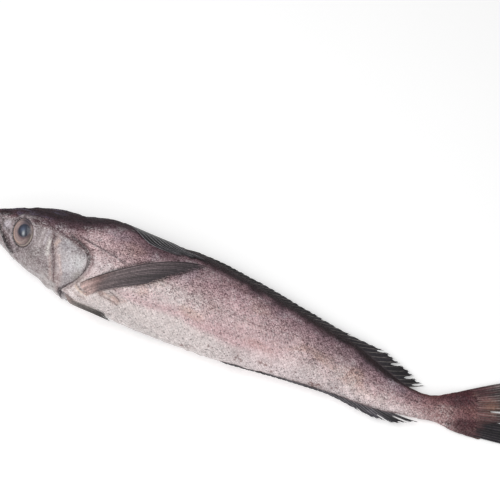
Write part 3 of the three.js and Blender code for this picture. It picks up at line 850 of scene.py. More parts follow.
def wet_skin(settings):
    """Raw fish skin under a film of slime: small scales, dark specks and tiny sharp glints.

    Noise scales are lumps per metre: 900 is 1.1 mm, 800 is 1.25 mm and 600 is 1.7 mm.
    """
    material, tree = new_material("wet_scaly_skin")
    colour = add(tree, "ShaderNodeAttribute", attribute_name="tint")
    speckle = add(tree, "ShaderNodeAttribute", attribute_name="speckle").outputs["Fac"]
    scaly = add(tree, "ShaderNodeAttribute", attribute_name="scaly").outputs["Fac"]
    flow = add(tree, "ShaderNodeAttribute", attribute_name="flow").outputs["Vector"]
    spot = add(tree, "ShaderNodeTexCoord").outputs["Object"]
    wobble = add(tree, "ShaderNodeTexNoise", {"Vector": spot, "Scale": 900.0, "Detail": 2.0}).outputs["Color"]
    bent = add(tree, "ShaderNodeVectorMath", {0: wobble, 1: (0.0011,) * 3}, operation="MULTIPLY")
    bent = add(tree, "ShaderNodeVectorMath", {0: spot, 1: bent}, operation="ADD")
    bent = add(tree, "ShaderNodeVectorMath", {0: bent, 1: (0.72, 1.15, 1.0)}, operation="MULTIPLY")
    # A cell holds a speck where its random number is under the density.
    for size, strength, share in SPECKS:
        step = 1 / (size * settings.speck_size * MM)
        cells = add(tree, "ShaderNodeTexVoronoi", {"Vector": bent, "Scale": step})
        fade = {0: cells, 1: 0.2, 2: 0.62, 3: strength, 4: 0.0}
        dot = add(tree, "ShaderNodeMapRange", fade, interpolation_type="SMOOTHSTEP")
        chance = add(tree, "ShaderNodeSeparateColor", {0: cells.outputs["Color"]})
        limit = add(tree, "ShaderNodeMath", {0: speckle, 1: share}, operation="MULTIPLY")
        chosen = add(tree, "ShaderNodeMath", {0: chance, 1: limit}, operation="LESS_THAN")
        mask = add(tree, "ShaderNodeMath", {0: dot, 1: chosen}, operation="MULTIPLY")
        mix = {0: mask, 6: colour, 7: rgba("#3a2427")}
        colour = add(tree, "ShaderNodeMix", mix, data_type="RGBA").outputs[2]
    # Mottling finer than the mesh carries, browner where it darkens and stronger where it is speckled.
    grain = add(tree, "ShaderNodeTexNoise", {"Vector": spot, "Scale": 800.0, "Detail": 3.0, "Roughness": 0.6})
    swing = add(tree, "ShaderNodeMath", {0: grain, 1: 0.5}, operation="SUBTRACT")
    depth = add(tree, "ShaderNodeMapRange", {0: speckle, 3: 1.3, 4: 4.4})
    bony = add(tree, "ShaderNodeMapRange", {0: scaly, 3: 1.0, 4: 0.0})
    depth = add(tree, "ShaderNodeMath", {0: depth, 1: bony}, operation="ADD")
    swing = add(tree, "ShaderNodeMath", {0: swing, 1: depth}, operation="MULTIPLY")
    darker = add(tree, "ShaderNodeMapRange", {0: swing, 2: -1.0})
    mix = {0: darker, 6: colour, 7: rgba("#7d4e55")}
    colour = add(tree, "ShaderNodeMix", mix, data_type="RGBA", blend_type="MULTIPLY").outputs[2]
    lift = add(tree, "ShaderNodeMapRange", {0: swing, 3: 1.0, 4: 1.25})
    colour = add(tree, "ShaderNodeVectorMath", {0: colour, "Scale": lift}, operation="SCALE")
    lighter = add(tree, "ShaderNodeMapRange", {0: swing})
    pale = add(tree, "ShaderNodeMapRange", {0: speckle, 1: 0.5, 2: 0.95, 3: 0.85, 4: 0.0})
    pale = add(tree, "ShaderNodeMath", {0: lighter, 1: pale}, operation="MULTIPLY")
    mix = {0: pale, 6: colour, 7: rgba("#ece6e6")}
    colour = add(tree, "ShaderNodeMix", mix, data_type="RGBA").outputs[2]
    # Scales: a staggered net over the body, each scale a low bump with its own lightness and a dark edge.
    net = add(tree, "ShaderNodeMapping", {"Vector": flow, "Rotation": (0, 0, math.radians(45))})
    cells = {"Vector": net, "Scale": 1 / settings.scale_size, "Randomness": 0.4}
    scales = add(tree, "ShaderNodeTexVoronoi", cells, voronoi_dimensions="2D")
    rise = add(tree, "ShaderNodeMath", {0: scales, 1: scaly}, operation="MULTIPLY")
    edge = add(tree, "ShaderNodeMapRange", {0: rise, 1: 0.35, 2: 0.75, 3: 1.06, 4: 0.78})
    own = add(tree, "ShaderNodeSeparateColor", {0: scales.outputs["Color"]})
    own = add(tree, "ShaderNodeMapRange", {0: own, 3: 0.9, 4: 1.1})
    tone = add(tree, "ShaderNodeMath", {0: edge, 1: own}, operation="MULTIPLY")
    colour = add(tree, "ShaderNodeVectorMath", {0: colour, "Scale": tone}, operation="SCALE")
    low = {"Height": rise, "Strength": 0.9, "Distance": 0.0009}
    bump = add(tree, "ShaderNodeBump", low, invert=True)
    slime = add(tree, "ShaderNodeTexNoise", {"Vector": spot, "Scale": 600.0, "Detail": 4.0})
    bump = add(tree, "ShaderNodeBump", {"Height": slime, "Strength": 0.75, "Distance": 0.0010, "Normal": bump})
    rough = add(tree, "ShaderNodeMapRange", {0: slime, 1: 0.3, 2: 0.7, 3: 0.24, 4: 0.5})
    dull = add(tree, "ShaderNodeMapRange", {0: speckle, 1: 0.7, 3: 0.0, 4: 0.45})
    film = add(tree, "ShaderNodeMapRange", {0: speckle, 1: 0.6, 3: 0.35, 4: 0.0})
    rough = add(tree, "ShaderNodeMath", {0: rough, 1: dull}, operation="ADD")
    finish = {"Base Color": colour, "Roughness": rough, "IOR": 1.4, "Normal": bump}
    finish |= {"Coat Weight": film, "Coat Roughness": 0.12}
    shader = add(tree, "ShaderNodeBsdfPrincipled", finish)
    add(tree, "ShaderNodeOutputMaterial", {"Surface": shader})
    return material


def wet_fin():
    """Fin skin over fine rays, dark, thin and wet, with a grain of 1.5 mm."""
    material, tree = new_material("wet_fin_membrane")
    tint = add(tree, "ShaderNodeAttribute", attribute_name="tint")
    spot = add(tree, "ShaderNodeTexCoord").outputs["Object"]
    grain = add(tree, "ShaderNodeTexNoise", {"Vector": spot, "Scale": 650.0, "Detail": 4.0})
    light = add(tree, "ShaderNodeMapRange", {0: grain, 1: 0.25, 2: 0.75, 3: 0.55, 4: 1.5})
    shade = add(tree, "ShaderNodeVectorMath", {0: tint, "Scale": light}, operation="SCALE")
    bump = add(tree, "ShaderNodeBump", {"Height": grain, "Strength": 0.6, "Distance": 0.0005})
    finish = {"Base Color": shade, "Roughness": 0.5, "IOR": 1.38, "Normal": bump}
    finish |= {"Coat Weight": 0.12, "Coat Roughness": 0.2}
    shader = add(tree, "ShaderNodeBsdfPrincipled", finish)
    add(tree, "ShaderNodeOutputMaterial", {"Surface": shader})
    return material


def wet_eye():
    """Clear cornea over a clouded pupil and an iris with fibres of 1.4 mm: smooth and wet."""
    material, tree = new_material("wet_cornea")
    tint = add(tree, "ShaderNodeAttribute", attribute_name="tint")
    spot = add(tree, "ShaderNodeTexCoord").outputs["Object"]
    fibre = add(tree, "ShaderNodeTexNoise", {"Vector": spot, "Scale": 700.0, "Detail": 3.0})
    light = add(tree, "ShaderNodeMapRange", {0: fibre, 1: 0.25, 2: 0.75, 3: 0.8, 4: 1.2})
    shade = add(tree, "ShaderNodeVectorMath", {0: tint, "Scale": light}, operation="SCALE")
    bump = add(tree, "ShaderNodeBump", {"Height": fibre, "Strength": 0.15, "Distance": 0.0004})
    # The iris lies flat under the bulging cornea, so it is lit as a plane across the eye's axis.
    look = add(tree, "ShaderNodeAttribute", attribute_name="look").outputs["Vector"]
    ways = {"vector_type": "NORMAL", "convert_from": "OBJECT", "convert_to": "WORLD"}
    look = add(tree, "ShaderNodeVectorTransform", {0: look}, **ways)
    flat = add(tree, "ShaderNodeVectorMath", {0: look, 1: (2.5, 2.5, 2.5), 2: bump}, operation="MULTIPLY_ADD")
    flat = add(tree, "ShaderNodeVectorMath", {0: flat}, operation="NORMALIZE")
    finish = {"Base Color": shade, "Roughness": 0.3, "IOR": 1.38, "Normal": flat}
    finish |= {"Coat Weight": 0.6, "Coat Roughness": 0.2, "Coat Normal": bump}
    shader = add(tree, "ShaderNodeBsdfPrincipled", finish)
    add(tree, "ShaderNodeOutputMaterial", {"Surface": shader})
    return material


# ------------------------------------------------------------------ eyes


def build_eye(name, node, flank, settings):
    """An eyeball with a slightly bulging cornea, coloured in rings round the pupil, with painted shade at its top and
    round its edge, a painted highlight on the pupil and painted reflection brightening the iris's pale crescent.
    """
    turn = np.linspace(0, 2 * np.pi, EYE_SPOKES, endpoint=False)
    lift = np.linspace(0, np.pi, EYE_RINGS + 1)[1:-1]
    x = np.outer(np.sin(lift), np.cos(turn)) * EYE_RADIUS
    y = np.outer(np.sin(lift), np.sin(turn)) * EYE_RADIUS
    level = np.repeat(np.cos(lift)[:, None], EYE_SPOKES, axis=1) * EYE_DEPTH
    radius = np.hypot(x, y)
    front = level > 0
    level = level + front * (0.5 * bell(radius, 6.5) - 0.3 * bell(radius - 10.1, 0.6))
    local = np.stack([x, y, level], -1).reshape(-1, 3)
    local = np.concatenate([[[0, 0, EYE_DEPTH + 0.5]], local, [[0, 0, -EYE_DEPTH]]])
    points = eye_centre(flank) + local @ np.array(eye_axes(flank))
    index = np.arange((EYE_RINGS - 1) * EYE_SPOKES).reshape(-1, EYE_SPOKES) + 1
    following = np.roll(index, -1, axis=1)
    quads = np.stack([index[:-1], index[1:], following[1:], following[:-1]], -1).reshape(-1, 4).tolist()
    last = len(points) - 1
    caps = [[0, int(a), int(b)] for a, b in zip(index[0], following[0])]
    caps += [[last, int(b), int(a)] for a, b in zip(index[-1], following[-1])]
    faces = quads + caps
    if flank < 0:
        faces = [face[::-1] for face in faces]
    piece = mesh_object(name, points, faces)
    x, y, radius = local[:, 0], local[:, 1], np.hypot(local[:, 0], local[:, 1])
    wedge = np.arctan2(y, -x)
    ring = np.hypot(x - PUPIL[0], y - PUPIL[1])
    glint = np.hypot((x - 4.5) / 0.8, (y + 0.4) / 1.4)
    tint = layered(
        np.tile(linear(settings_hex(settings.iris)), (len(local), 1)),
        ("#6f685c", 0.75 * smooth(x, 5.0, 9.0) * smooth(-y, -5, 2)),
        # Painted shade over the top of the iris.
        ("#4a4450", 0.85 * smooth(y, 4.0, 9.0) * smooth(x, -4, 4)),
        ("#7d6a6b", 0.6 * smooth(-y, 2, 6) * smooth(x, -4, 3)),
        # The iris's peach crescent, brightened with painted reflection.
        ("#f3cfba", 0.95 * bell(wedge + 0.25, 0.95) * bell(radius - 9.1, 1.3)),
        ("#b5a79d", 0.5 * bell(radius - 8.0, 0.4) * smooth(-y, 0, 4) * smooth(x, -4, 4)),
        ("#332a2d", 0.85 * bell(radius - 10.5, 0.45)),
        ("#b8aba1", 0.7 * bell(radius - 11.1, 0.45) * smooth(-y, -3, 4)),
        # Painted shade round the ball's edge under the rim of skin.
        ("#2f272c", smooth(radius, 11.5, 12.0)),
        ("#54434a", 0.8 * bell(ring - PUPIL_RADIUS, 1.0) * smooth(-y, -5, 0)),
        ("#272b3a", 1 - smooth(ring, 5.0, PUPIL_RADIUS)),
        ("#5c677f", 0.75 * bell(np.hypot(x - 3.6, y - 2.6), 2.4)),
        # Painted highlight on the pupil.
        ("#c3c9ce", 0.95 * bell(glint, 1.4)),
    )
    store(piece.data, "tint", "FLOAT_COLOR", tint)
    store(piece.data, "look", "FLOAT_VECTOR", np.tile(eye_axes(flank)[2], (len(local), 1)))
    piece.data.materials.append(bpy.data.materials.get("wet_cornea") or wet_eye())
    hand_over(piece, node)


def settings_hex(colour):
    """A colour property, kept linear by Blender, back to sRGB hex."""
    values = [12.92 * c if c <= 0.0031308 else 1.055 * c ** (1 / 2.4) - 0.055 for c in colour[:3]]
    return "#" + "".join(f"{round(max(0, min(1, v)) * 255):02x}" for v in values)


# ------------------------------------------------------------------ fins


def ray_tree():
    """Geometry Nodes: loose edges become tapering round rays; the web's faces stay as they are."""
    tree = bpy.data.node_groups.new("fin_rays", "GeometryNodeTree")
    face = tree.interface
    face.new_socket("Geometry", in_out="INPUT", socket_type="NodeSocketGeometry")
    face.new_socket("Thickness", in_out="INPUT", socket_type="NodeSocketFloat").default_value = 1.0
    face.new_socket("Sides", in_out="INPUT", socket_type="NodeSocketInt").default_value = 6
    face.new_socket("Material", in_out="INPUT", socket_type="NodeSocketMaterial")
    face.new_socket("Geometry", in_out="OUTPUT", socket_type="NodeSocketGeometry")
    given = add(tree, "NodeGroupInput")
    thickness, sides, finish = (given.outputs[name] for name in ("Thickness", "Sides", "Material"))
    is_ray = add(tree, "GeometryNodeInputNamedAttribute", {"Name": "is_ray"}, data_type="BOOLEAN")
    width = add(tree, "GeometryNodeInputNamedAttribute", {"Name": "width"}, data_type="FLOAT")
    parts = add(tree, "GeometryNodeSeparateGeometry", {"Geometry": given, "Selection": is_ray}, domain="POINT")
    lines = add(tree, "GeometryNodeMeshToCurve", {"Mesh": parts.outputs["Selection"]})
    scaled = add(tree, "ShaderNodeMath", {0: width, 1: thickness}, operation="MULTIPLY")
    profile = add(tree, "GeometryNodeCurvePrimitiveCircle", {"Resolution": sides, "Radius": 1.0})
    sweep = {"Curve": lines, "Profile Curve": profile, "Scale": scaled, "Fill Caps": True}
    tubes = add(tree, "GeometryNodeCurveToMesh", sweep)
    smoothed = add(tree, "GeometryNodeSetShadeSmooth", {0: tubes})
    joined = add(tree, "GeometryNodeJoinGeometry", {0: parts.outputs["Inverted"]})
    tree.links.new(smoothed.outputs[0], joined.inputs[0])
    real = add(tree, "GeometryNodeRealizeInstances", {0: joined})
    done = add(tree, "GeometryNodeSetMaterial", {"Geometry": real, "Material": finish})
    add(tree, "NodeGroupOutput", {"Geometry": done})
    return tree


def apply_tree(piece, tree, values):
    """Runs the tree on the piece and keeps the result as a plain mesh."""
    modifier = piece.modifiers.new("rays", "NODES")
    modifier.node_group = tree
    sockets = {item.name: item.identifier for item in tree.interface.items_tree if item.in_out == "INPUT"}
    for name, value in values.items():
        modifier[sockets[name]] = value
    depsgraph = bpy.context.evaluated_depsgraph_get()
    mesh = bpy.data.meshes.new_from_object(piece.evaluated_get(depsgraph))
    piece.modifiers.clear()
    old = piece.data
    piece.data = mesh
    bpy.data.meshes.remove(old)


def ray_reaches(rays, rng, notch, tears, uneven):
    """How far each column of the web reaches: full at a ray, notched between, torn here and there."""
    tips = 1 - uneven * rng.random(rays)
    columns = (rays - 1) * WEBS_PER_RAY + 1
    reach = np.empty(columns)
    gaps = notch * rng.uniform(0.5, 1.4, rays - 1)
    for gap, depth in tears:
        gaps[gap % (rays - 1)] = depth
    for c in range(columns):
        ray, part = divmod(c, WEBS_PER_RAY)
        if part == 0:
            reach[c] = tips[ray]
            continue
        t = part / WEBS_PER_RAY
        between = lerp(tips[ray], tips[ray + 1], t)
        reach[c] = between - gaps[ray] * math.sin(math.pi * t) ** 0.6
    return reach, tips


def surface_normal(at, a, b):
    nudge = 0.004
    across = at(np.minimum(a + nudge, 1), b) - at(np.maximum(a - nudge, 0), b)
    along = at(a, np.minimum(b + nudge, 1)) - at(a, np.maximum(b - nudge, 0))
    normal = np.cross(across, along)
    return normal / np.maximum(np.linalg.norm(normal, axis=-1, keepdims=True), 1e-9)


def streaked(tint, a, b, is_ray, seed):
    """A fin's colours with lighter and darker streaks along the rays."""
    spots = np.stack([a * 60, b * 4, np.full(np.shape(a), seed * 3.0)], -1)
    return tint(a, b, is_ray) * (1 + 0.55 * clouds(spots, 2.6, 98, 2))[..., None]


def ruffled(points, b, seed):
    """How far a fin waves out of its middle surface, in mm."""
    return cloud(points + seed * 37, 13, seed + 5) * RUFFLE * smooth(b, 0.1, 0.6)


def build_fin(
    name, at, tint, rays, seed, settings, steps=26, notch=0.08, tears=(), root=1.5, web=0.45,
    ray_root=0.55, ray_tip=0.16, branch=0.5, uneven=0.07,
):
    """A fin: a thin web with notched edges and, inside it, rays that fork towards their tips."""
    rng = np.random.default_rng(seed)
    reach, tips = ray_reaches(rays, rng, notch, tears, uneven)
    a = np.repeat(np.linspace(0, 1, len(reach))[None, :], steps + 1, axis=0)
    b = np.linspace(0, 1, steps + 1)[:, None] * reach[None, :]
    gap = np.abs(np.sin(a * (rays - 1) * np.pi))
    normal = surface_normal(at, a, b)
    middle = at(a, b)
    middle = middle + normal * (ruffled(middle, b, seed) - 0.22 * gap * smooth(b, 0.05, 0.3))[..., None]
    thick = lerp(root, web, smooth(b, 0.0, 0.3)) * lerp(1, 0.75, gap) * lerp(1, 0.55, b)
    front = middle + normal * thick[..., None] / 2
    rear = middle - normal * thick[..., None] / 2
    lift = np.maximum(0.12 - np.minimum(front[..., 2], rear[..., 2]), 0)
    front[..., 2] += lift
    rear[..., 2] += lift
    count = a.size
    index = np.arange(count).reshape(a.shape)
    quads = [
        np.stack([index[:-1, :-1], index[:-1, 1:], index[1:, 1:], index[1:, :-1]], -1).reshape(-1, 4),
        count + np.stack([index[:-1, :-1], index[1:, :-1], index[1:, 1:], index[:-1, 1:]], -1).reshape(-1, 4),
    ]
    border = np.concatenate([index[0, :], index[1:, -1], index[-1, -2::-1], index[-2:0:-1, 0]])
    following = np.roll(border, -1)
    quads.append(np.stack([border, border + count, following + count, following], -1))
    points = [front.reshape(-1, 3), rear.reshape(-1, 3)]
    tints = [streaked(tint, a, b, 0 * a, seed).reshape(-1, 3)] * 2
    widths = [np.zeros(2 * count)]
    edges = []
    total = 2 * count

    def line(ray_a, ray_b, radius):
        nonlocal total
        centre = at(ray_a, ray_b)
        centre = centre + surface_normal(at, ray_a, ray_b) * ruffled(centre, ray_b, seed)[:, None]
        centre[:, 2] = np.maximum(centre[:, 2], radius + 0.02)
        points.append(centre)
        tints.append(streaked(tint, ray_a, ray_b, np.ones_like(ray_a), seed))
        widths.append(radius)
        edges.extend([[total + i, total + i + 1] for i in range(RAY_POINTS - 1)])
        total += RAY_POINTS

    t = np.linspace(0, 1, RAY_POINTS)
    for ray in range(rays):
        at_ray = ray / (rays - 1)
        trunk_b = np.linspace(0.02, branch, RAY_POINTS)
        line(np.full(RAY_POINTS, at_ray), trunk_b, lerp(ray_root, ray_tip, trunk_b))
        for spread in (-0.21 / (rays - 1), 0.21 / (rays - 1)):
            fork_b = lerp(branch, tips[ray] + 0.012, t)
            fork_a = np.clip(at_ray + spread * smooth(t, 0, 1), 0, 1)
            line(fork_a, fork_b, lerp(ray_root, ray_tip, fork_b) * lerp(1, 0.72, t))
    piece = mesh_object(name, np.concatenate(points), np.concatenate(quads).tolist(), edges)
    mesh = piece.data
    store(mesh, "tint", "FLOAT_COLOR", np.concatenate(tints))
    store(mesh, "width", "FLOAT", np.concatenate(widths) * MM)
    store(mesh, "is_ray", "BOOLEAN", np.arange(total) >= 2 * count)
    material = bpy.data.materials.get("wet_fin_membrane") or wet_fin()
    tree = bpy.data.node_groups.get("fin_rays") or ray_tree()
    apply_tree(piece, tree, {"Thickness": settings.ray_thickness, "Sides": 6, "Material": material})
    hand_over(piece, "hake")


def middle_fin(first, last, rim, length, sweep, droop):
    """The middle surface of a fin on the back or the belly, swept to the tail and drooping."""
    sign = 1 if rim is back else -1
    fall = math.radians(droop)

    def at(a, b):
        foot = lerp(first, last, a)
        lean = np.radians(sweep(a))
        run = lerp(-FIN_SUNK, length(a), b)
        out = run * np.sin(lean)
        z = np.maximum(height(foot) - np.maximum(out, 0) * math.sin(fall), FIN_CLEAR)
        return place(foot + run * np.cos(lean), sign * (rim(foot) + out * math.cos(fall)), z)

    return at


def fin_tint(root, web, ray, tip):
    """Colours of a plain fin from its root to its tip."""

    def tint(a, b, is_ray):
        base = np.tile(linear(web), (*np.shape(a), 1))
        return layered(base, (ray, 0.8 * is_ray), (root, 1 - smooth(b, 0.05, 0.32)), (tip, smooth(b, 0.6, 1.0)))

    return tint


def second_dorsal():
    def length(a):
        return lerp(13, 22, smooth(a, 0.6, 0.8)) - 5 * smooth(a, 0.9, 1)

    def sweep(a):
        return lerp(12, 27, smooth(a, 0.64, 0.8)) * lerp(1, 0.58, smooth(a, 0.85, 1))

    return middle_fin(176, 394, back, length, sweep, 20)


def anal():
    def length(a):
        return lerp(9, 21.5, smooth(a, 0.55, 0.82))

    def sweep(a):
        return lerp(5, 14, smooth(a, 0.5, 0.8)) * lerp(1, 0.4, smooth(a, 0.85, 1))

    return middle_fin(240, 387, belly, length, sweep, 25)


def first_dorsal(a, b):
    """Folded back over the upper flank."""
    foot = lerp(FOLDED_FROM, FOLDED_TO, a)
    s = foot + lerp(-FIN_SUNK, lerp(FRONT_RAY, REAR_RAY, a), b)
    v = back(s) - (lerp(FOLDED_FALL, 5, a) * smooth(b, 0, 0.6) + 0.8)
    return place(s, v, height(s) + side(s, v) + lerp(-1.2, 1.2, smooth(b, 0, 0.3)))


def caudal(a, b):
    """A fan over the end of the flesh, slightly forked, that settles onto the surface."""
    across = 1 - 2 * a
    start = TAIL_ROOT - 14 * np.abs(across)
    end = TAIL_END + TAIL_FORK * across * across
    edge = np.where(across > 0, back(start), belly(start))
    v = across * lerp(edge * 0.94, np.where(across > 0, TAIL_UP, TAIL_DOWN), np.maximum(b, 0) ** 0.9)
    return place(lerp(start, end, b), v, lerp(height(TAIL_ROOT), 1.9, smooth(b, 0, 0.5)))


def pectoral(flank):
    """The left fin bows up over the flank; the right one points back, caught under the body."""
    tip = PECTORAL_TIP[flank]
    bow = PECTORAL_BOW if flank > 0 else 0

    def at(a, b):
        far = [lerp(tip[0][k], tip[1][k], a) for k in (0, 1)]
        near = [lerp(PECTORAL_ROOT[0][k], PECTORAL_ROOT[1][k], a) for k in (0, 1)]
        reach = lerp(-0.04, 1, b)
        arch = bow * (1 - a) * 6.75 * b * b * (1 - b)
        s = lerp(near[0], far[0], reach) - arch * 0.5
        v = lerp(near[1], far[1], reach) + arch
        off = lerp(-1.7, 0.6, smooth(b, 0, 0.17)) + 1.4 * smooth(b, 0.1, 0.4) + (3 * b * b if flank > 0 else 0)
        return place(s, v, np.maximum(height(s) + flank * (side(s, v) + off), FIN_CLEAR))

    return at


def pelvic(flank):
    """Below the throat, pointing back along the belly's edge."""

    def at(a, b):
        foot = PELVIC_ROOT + 4 * a
        s = foot + lerp(-FIN_SUNK, PELVIC_LENGTH * (1 - 0.25 * a), b)
        out = lerp(-2, 3, smooth(b, 0, 0.2)) - 3 * a if flank > 0 else lerp(-3, -7, b) - 2 * a
        z = height(s) + flank * lerp(6, 3 + 4 * a, b)
        return place(s, -belly(s) - out, np.maximum(z, FIN_CLEAR))

    return at


def caudal_tint(a, b, is_ray):
    """Dark red root, grey rays above, nearly black lower lobe."""
    uneven = 0.1 * cloud(np.stack([a * 30, b * 6, 0 * a], -1), 1.5, 99) + 0.22 * smooth(a, 0.6, 0.78)
    flesh = 1 - smooth(b + uneven, 0.3, 0.62)
    return layered(
        np.tile(linear("#3f3638"), (*np.shape(a), 1)),
        ("#8b8180", 0.85 * is_ray),
        ("#8a8281", 0.6 * (1 - smooth(a, 0.0, 0.1))),
        ("#18151c", 0.95 * smooth(a, 0.56, 0.7) * (1 - 0.1 * is_ray)),
        ("#6e4a4a", 0.9 * flesh * (1 - 0.35 * is_ray)),
        ("#401f27", 0.7 * flesh * smooth(np.abs(a - 0.5), 0.2, 0.42)),
        ("#8d6a50", 0.35 * bell(a - 0.42, 0.13) * bell(b - 0.42, 0.14)),
    )


def pectoral_tint(a, b, is_ray):
    """Pinkish flesh at the root, brown-grey rays, a darker tip, and painted shadow along the front edge."""
    return layered(
        np.tile(linear("#4d4246"), (*np.shape(a), 1)),
        ("#8d7f7f", 0.8 * is_ray * (1 - 0.5 * b)),
        ("#2e2a2e", smooth(b, 0.45, 1.0) * (0.85 - 0.4 * is_ray)),
        ("#775b57", (1 - smooth(b + 0.1 * a, 0.15, 0.36)) * 0.85),
        ("#b79f9b", (1 - smooth(b - 0.05 * a, 0.05, 0.2)) * 0.95),
        # Painted shadow along the fin's front edge.
        ("#2b2225", 0.8 * (1 - smooth(a, 0.0, 0.09)) * smooth(b, 0.02, 0.1)),
    )


# ------------------------------------------------------------------ properties, operators, panel


class HAKE_PG_settings(bpy.types.PropertyGroup):
    relief: bpy.props.FloatProperty(
        name="Relief", description="Depth of folds, bones and furrows, as a share of life", default=1.0, min=0, max=2,
        subtype="FACTOR",
    )
    scale_size: bpy.props.FloatProperty(
        name="Scale size", description="Spacing of the scales in millimetres", default=2.2, min=0.5, max=8
    )
    speck_size: bpy.props.FloatProperty(
        name="Speck size", description="Size of the dark specks, as a share of life", default=1.0, min=0.3, max=4,
        subtype="FACTOR",
    )
    ray_thickness: bpy.props.FloatProperty(
        name="Ray thickness", description="Thickness of the fin rays, as a share of life", default=1.0, min=0.2, max=3,
        subtype="FACTOR",
    )
    iris: bpy.props.FloatVectorProperty(
        name="Iris", description="Colour of the iris", subtype="COLOR", size=3, min=0, max=1,
        default=tuple(linear("#9c8582")),
    )
    floor: bpy.props.FloatVectorProperty(
        name="Floor", description="Colour of the studio floor", subtype="COLOR", size=3, min=0, max=1,
        default=tuple(linear("#f4f4f4")),
    )
    lens: bpy.props.FloatProperty(
        name="Lens", description="Focal length of the camera", default=84.67, min=10, max=300, unit="CAMERA"
    )
    distance: bpy.props.FloatProperty(
        name="Distance", description="Camera's distance from the fish", default=1.006, min=0.2, max=5, unit="LENGTH"
    )


class HAKE_OT_skin(bpy.types.Operator):
    """Make the head and trunk in one skin"""

    bl_idname = "hake.skin"
    bl_label = "Skin"

    def execute(self, context):
        build_skin(context.scene.hake)
        return {"FINISHED"}


class HAKE_OT_eyes(bpy.types.Operator):
    """Make both eyeballs"""

    bl_idname = "hake.eyes"
    bl_label = "Eyes"

    def execute(self, context):
        build_eye("eyeball_left", "eye_left", 1, context.scene.hake)
        build_eye("eyeball_right", "eye_right", -1, context.scene.hake)
        return {"FINISHED"}


class HAKE_OT_middle_fins(bpy.types.Operator):
    """Make the two fins of the back and the one of the belly"""

    bl_idname = "hake.middle_fins"
    bl_label = "Back and belly fins"

    def execute(self, context):
        settings = context.scene.hake
        dark = fin_tint("#443a3e", "#252226", "#625d5b", "#1f1d21")
        build_fin("dorsal_fin_first", first_dorsal, fin_tint("#1d171b", "#0f0c0e", "#9b979d", "#171418"), 9, 11,
                  settings, notch=0.2, ray_root=0.42, ray_tip=0.22, branch=0.9, uneven=0.2)
        build_fin("dorsal_fin_second", second_dorsal(), dark, 38, 12, settings, steps=20,
                  tears=((20, 0.15), (24, 0.22), (28, 0.3), (31, 0.38), (34, 0.45), (36, 0.5)))
        build_fin("anal_fin", anal(), fin_tint("#776667", "#3d3a3f", "#7b787b", "#313037"), 34, 13, settings,
                  steps=20, tears=((19, 0.15), (24, 0.2), (28, 0.35), (31, 0.5)))
        return {"FINISHED"}


class HAKE_OT_tail_fin(bpy.types.Operator):
    """Make the tail fin"""

    bl_idname = "hake.tail_fin"
    bl_label = "Tail fin"

    def execute(self, context):
        tears = ((11, 0.68), (15, 0.45), (5, 0.18), (3, 0.12))
        build_fin("tail_fin", caudal, caudal_tint, 24, 14, context.scene.hake, steps=34, notch=0.07, tears=tears,
                  branch=0.45)
        return {"FINISHED"}


class HAKE_OT_paired_fins(bpy.types.Operator):
    """Make the pectoral and pelvic fins of both sides"""

    bl_idname = "hake.paired_fins"
    bl_label = "Paired fins"

    def execute(self, context):
        settings = context.scene.hake
        for flank, word in ((1, "left"), (-1, "right")):
            build_fin(f"pectoral_fin_{word}", pectoral(flank), pectoral_tint, 14, 16 + flank, settings, steps=34,
                      notch=0.05, uneven=0.03, root=0.9)
            build_fin(f"pelvic_fin_{word}", pelvic(flank), fin_tint("#8a7a76", "#4d4745", "#857e7a", "#3d3937"), 7,
                      19 + flank, settings, notch=0.12)
        return {"FINISHED"}


class HAKE_OT_studio(bpy.types.Operator):
    """Make the floor, the lights and the camera"""

    bl_idname = "hake.studio"
    bl_label = "Studio"

    def execute(self, context):
        build_studio(context.scene, context.scene.hake)
        return {"FINISHED"}


OPERATORS = (
    HAKE_OT_skin, HAKE_OT_eyes, HAKE_OT_middle_fins, HAKE_OT_tail_fin, HAKE_OT_paired_fins, HAKE_OT_studio,
)


class HAKE_PT_panel(bpy.types.Panel):
    bl_label = "Whole hake"
    bl_idname = "HAKE_PT_panel"
    bl_space_type = "VIEW_3D"
    bl_region_type = "UI"
    bl_category = "Hake"

    def draw(self, context):
        for name in HAKE_PG_settings.__annotations__:
            self.layout.prop(context.scene.hake, name)
        for operator in OPERATORS:
            self.layout.operator(operator.bl_idname)


# ------------------------------------------------------------------ stage, lights, camera

# Camera, in degrees and millimetres.
CAMERA_AZIMUTH, CAMERA_ELEVATION = 22.96, 70.0
CAMERA_AIM = Vector((-25.9, 56.9, 15.0)) * MM


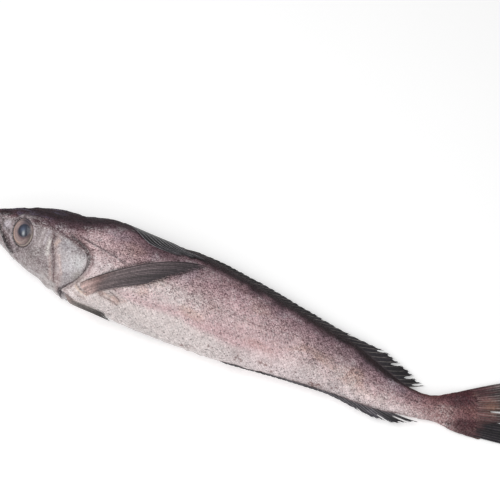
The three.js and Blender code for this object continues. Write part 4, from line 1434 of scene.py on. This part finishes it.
def build_studio(scene, settings):
    """A pale floor, two broad soft lights above and white walls all round."""
    mesh = bpy.data.meshes.new("floor")
    mesh.from_pydata([(-3, -3, 0), (3, -3, 0), (3, 3, 0), (-3, 3, 0)], [], [[0, 1, 2, 3]])
    floor = bpy.data.objects.new("floor", mesh)
    scene.collection.objects.link(floor)
    floor.location.z = -0.0003
    # Matt white studio paper with a faint mottle of 25 mm: it has no gloss and glows a little.
    material, tree = new_material("white_paper_floor")
    paper = add(tree, "ShaderNodeTexNoise", {"Scale": 40.0, "Detail": 3.0})
    tone = add(tree, "ShaderNodeMapRange", {0: paper, 3: 0.985, 4: 1.0})
    shade = add(tree, "ShaderNodeVectorMath", {0: tuple(settings.floor), "Scale": tone}, operation="SCALE")
    finish = {"Base Color": shade, "Roughness": 0.9, "Emission Color": shade, "Emission Strength": 0.3}
    shader = add(tree, "ShaderNodeBsdfPrincipled", finish)
    add(tree, "ShaderNodeOutputMaterial", {"Surface": shader})
    mesh.materials.append(material)

    world = bpy.data.worlds.new("studio_white")
    scene.world = world
    world.use_nodes = True
    world.node_tree.nodes["Background"].inputs["Color"].default_value = (1, 1, 1, 1)
    world.node_tree.nodes["Background"].inputs["Strength"].default_value = 0.38
    for name, spot, size, power in (
        ("soft_box_key", (-0.35, -0.15, 1.0), 0.7, 5.6),
        ("soft_box_fill", (0.7, -0.8, 0.9), 0.9, 4.2),
    ):
        data = bpy.data.lights.new(name, "AREA")
        data.shape = "SQUARE"
        data.size = size
        data.energy = power
        lamp = bpy.data.objects.new(name, data)
        lamp.location = spot
        lamp.rotation_mode = "QUATERNION"
        lamp.rotation_quaternion = (-Vector(spot)).to_track_quat("-Z", "Y")
        scene.collection.objects.link(lamp)

    data = bpy.data.cameras.new("camera")
    data.lens = settings.lens
    data.sensor_width = 36
    camera = bpy.data.objects.new("camera", data)
    a, e = math.radians(CAMERA_AZIMUTH), math.radians(CAMERA_ELEVATION)
    away = Vector((math.sin(a) * math.cos(e), -math.cos(a) * math.cos(e), math.sin(e)))
    camera.location = CAMERA_AIM + away * settings.distance
    camera.rotation_mode = "QUATERNION"
    camera.rotation_quaternion = (-away).to_track_quat("-Z", "Y")
    scene.collection.objects.link(camera)
    scene.camera = camera
    scene.view_settings.view_transform = "Standard"


CLASSES = (HAKE_PG_settings, *OPERATORS, HAKE_PT_panel)


def register():
    for cls in CLASSES:
        bpy.utils.register_class(cls)
    bpy.types.Scene.hake = bpy.props.PointerProperty(type=HAKE_PG_settings)


def unregister():
    del bpy.types.Scene.hake
    for cls in reversed(CLASSES):
        bpy.utils.unregister_class(cls)


def main():
    register()
    for operator in OPERATORS:
        group, name = operator.bl_idname.split(".")
        getattr(getattr(bpy.ops, group), name)()


if __name__ == "__main__":
    main()
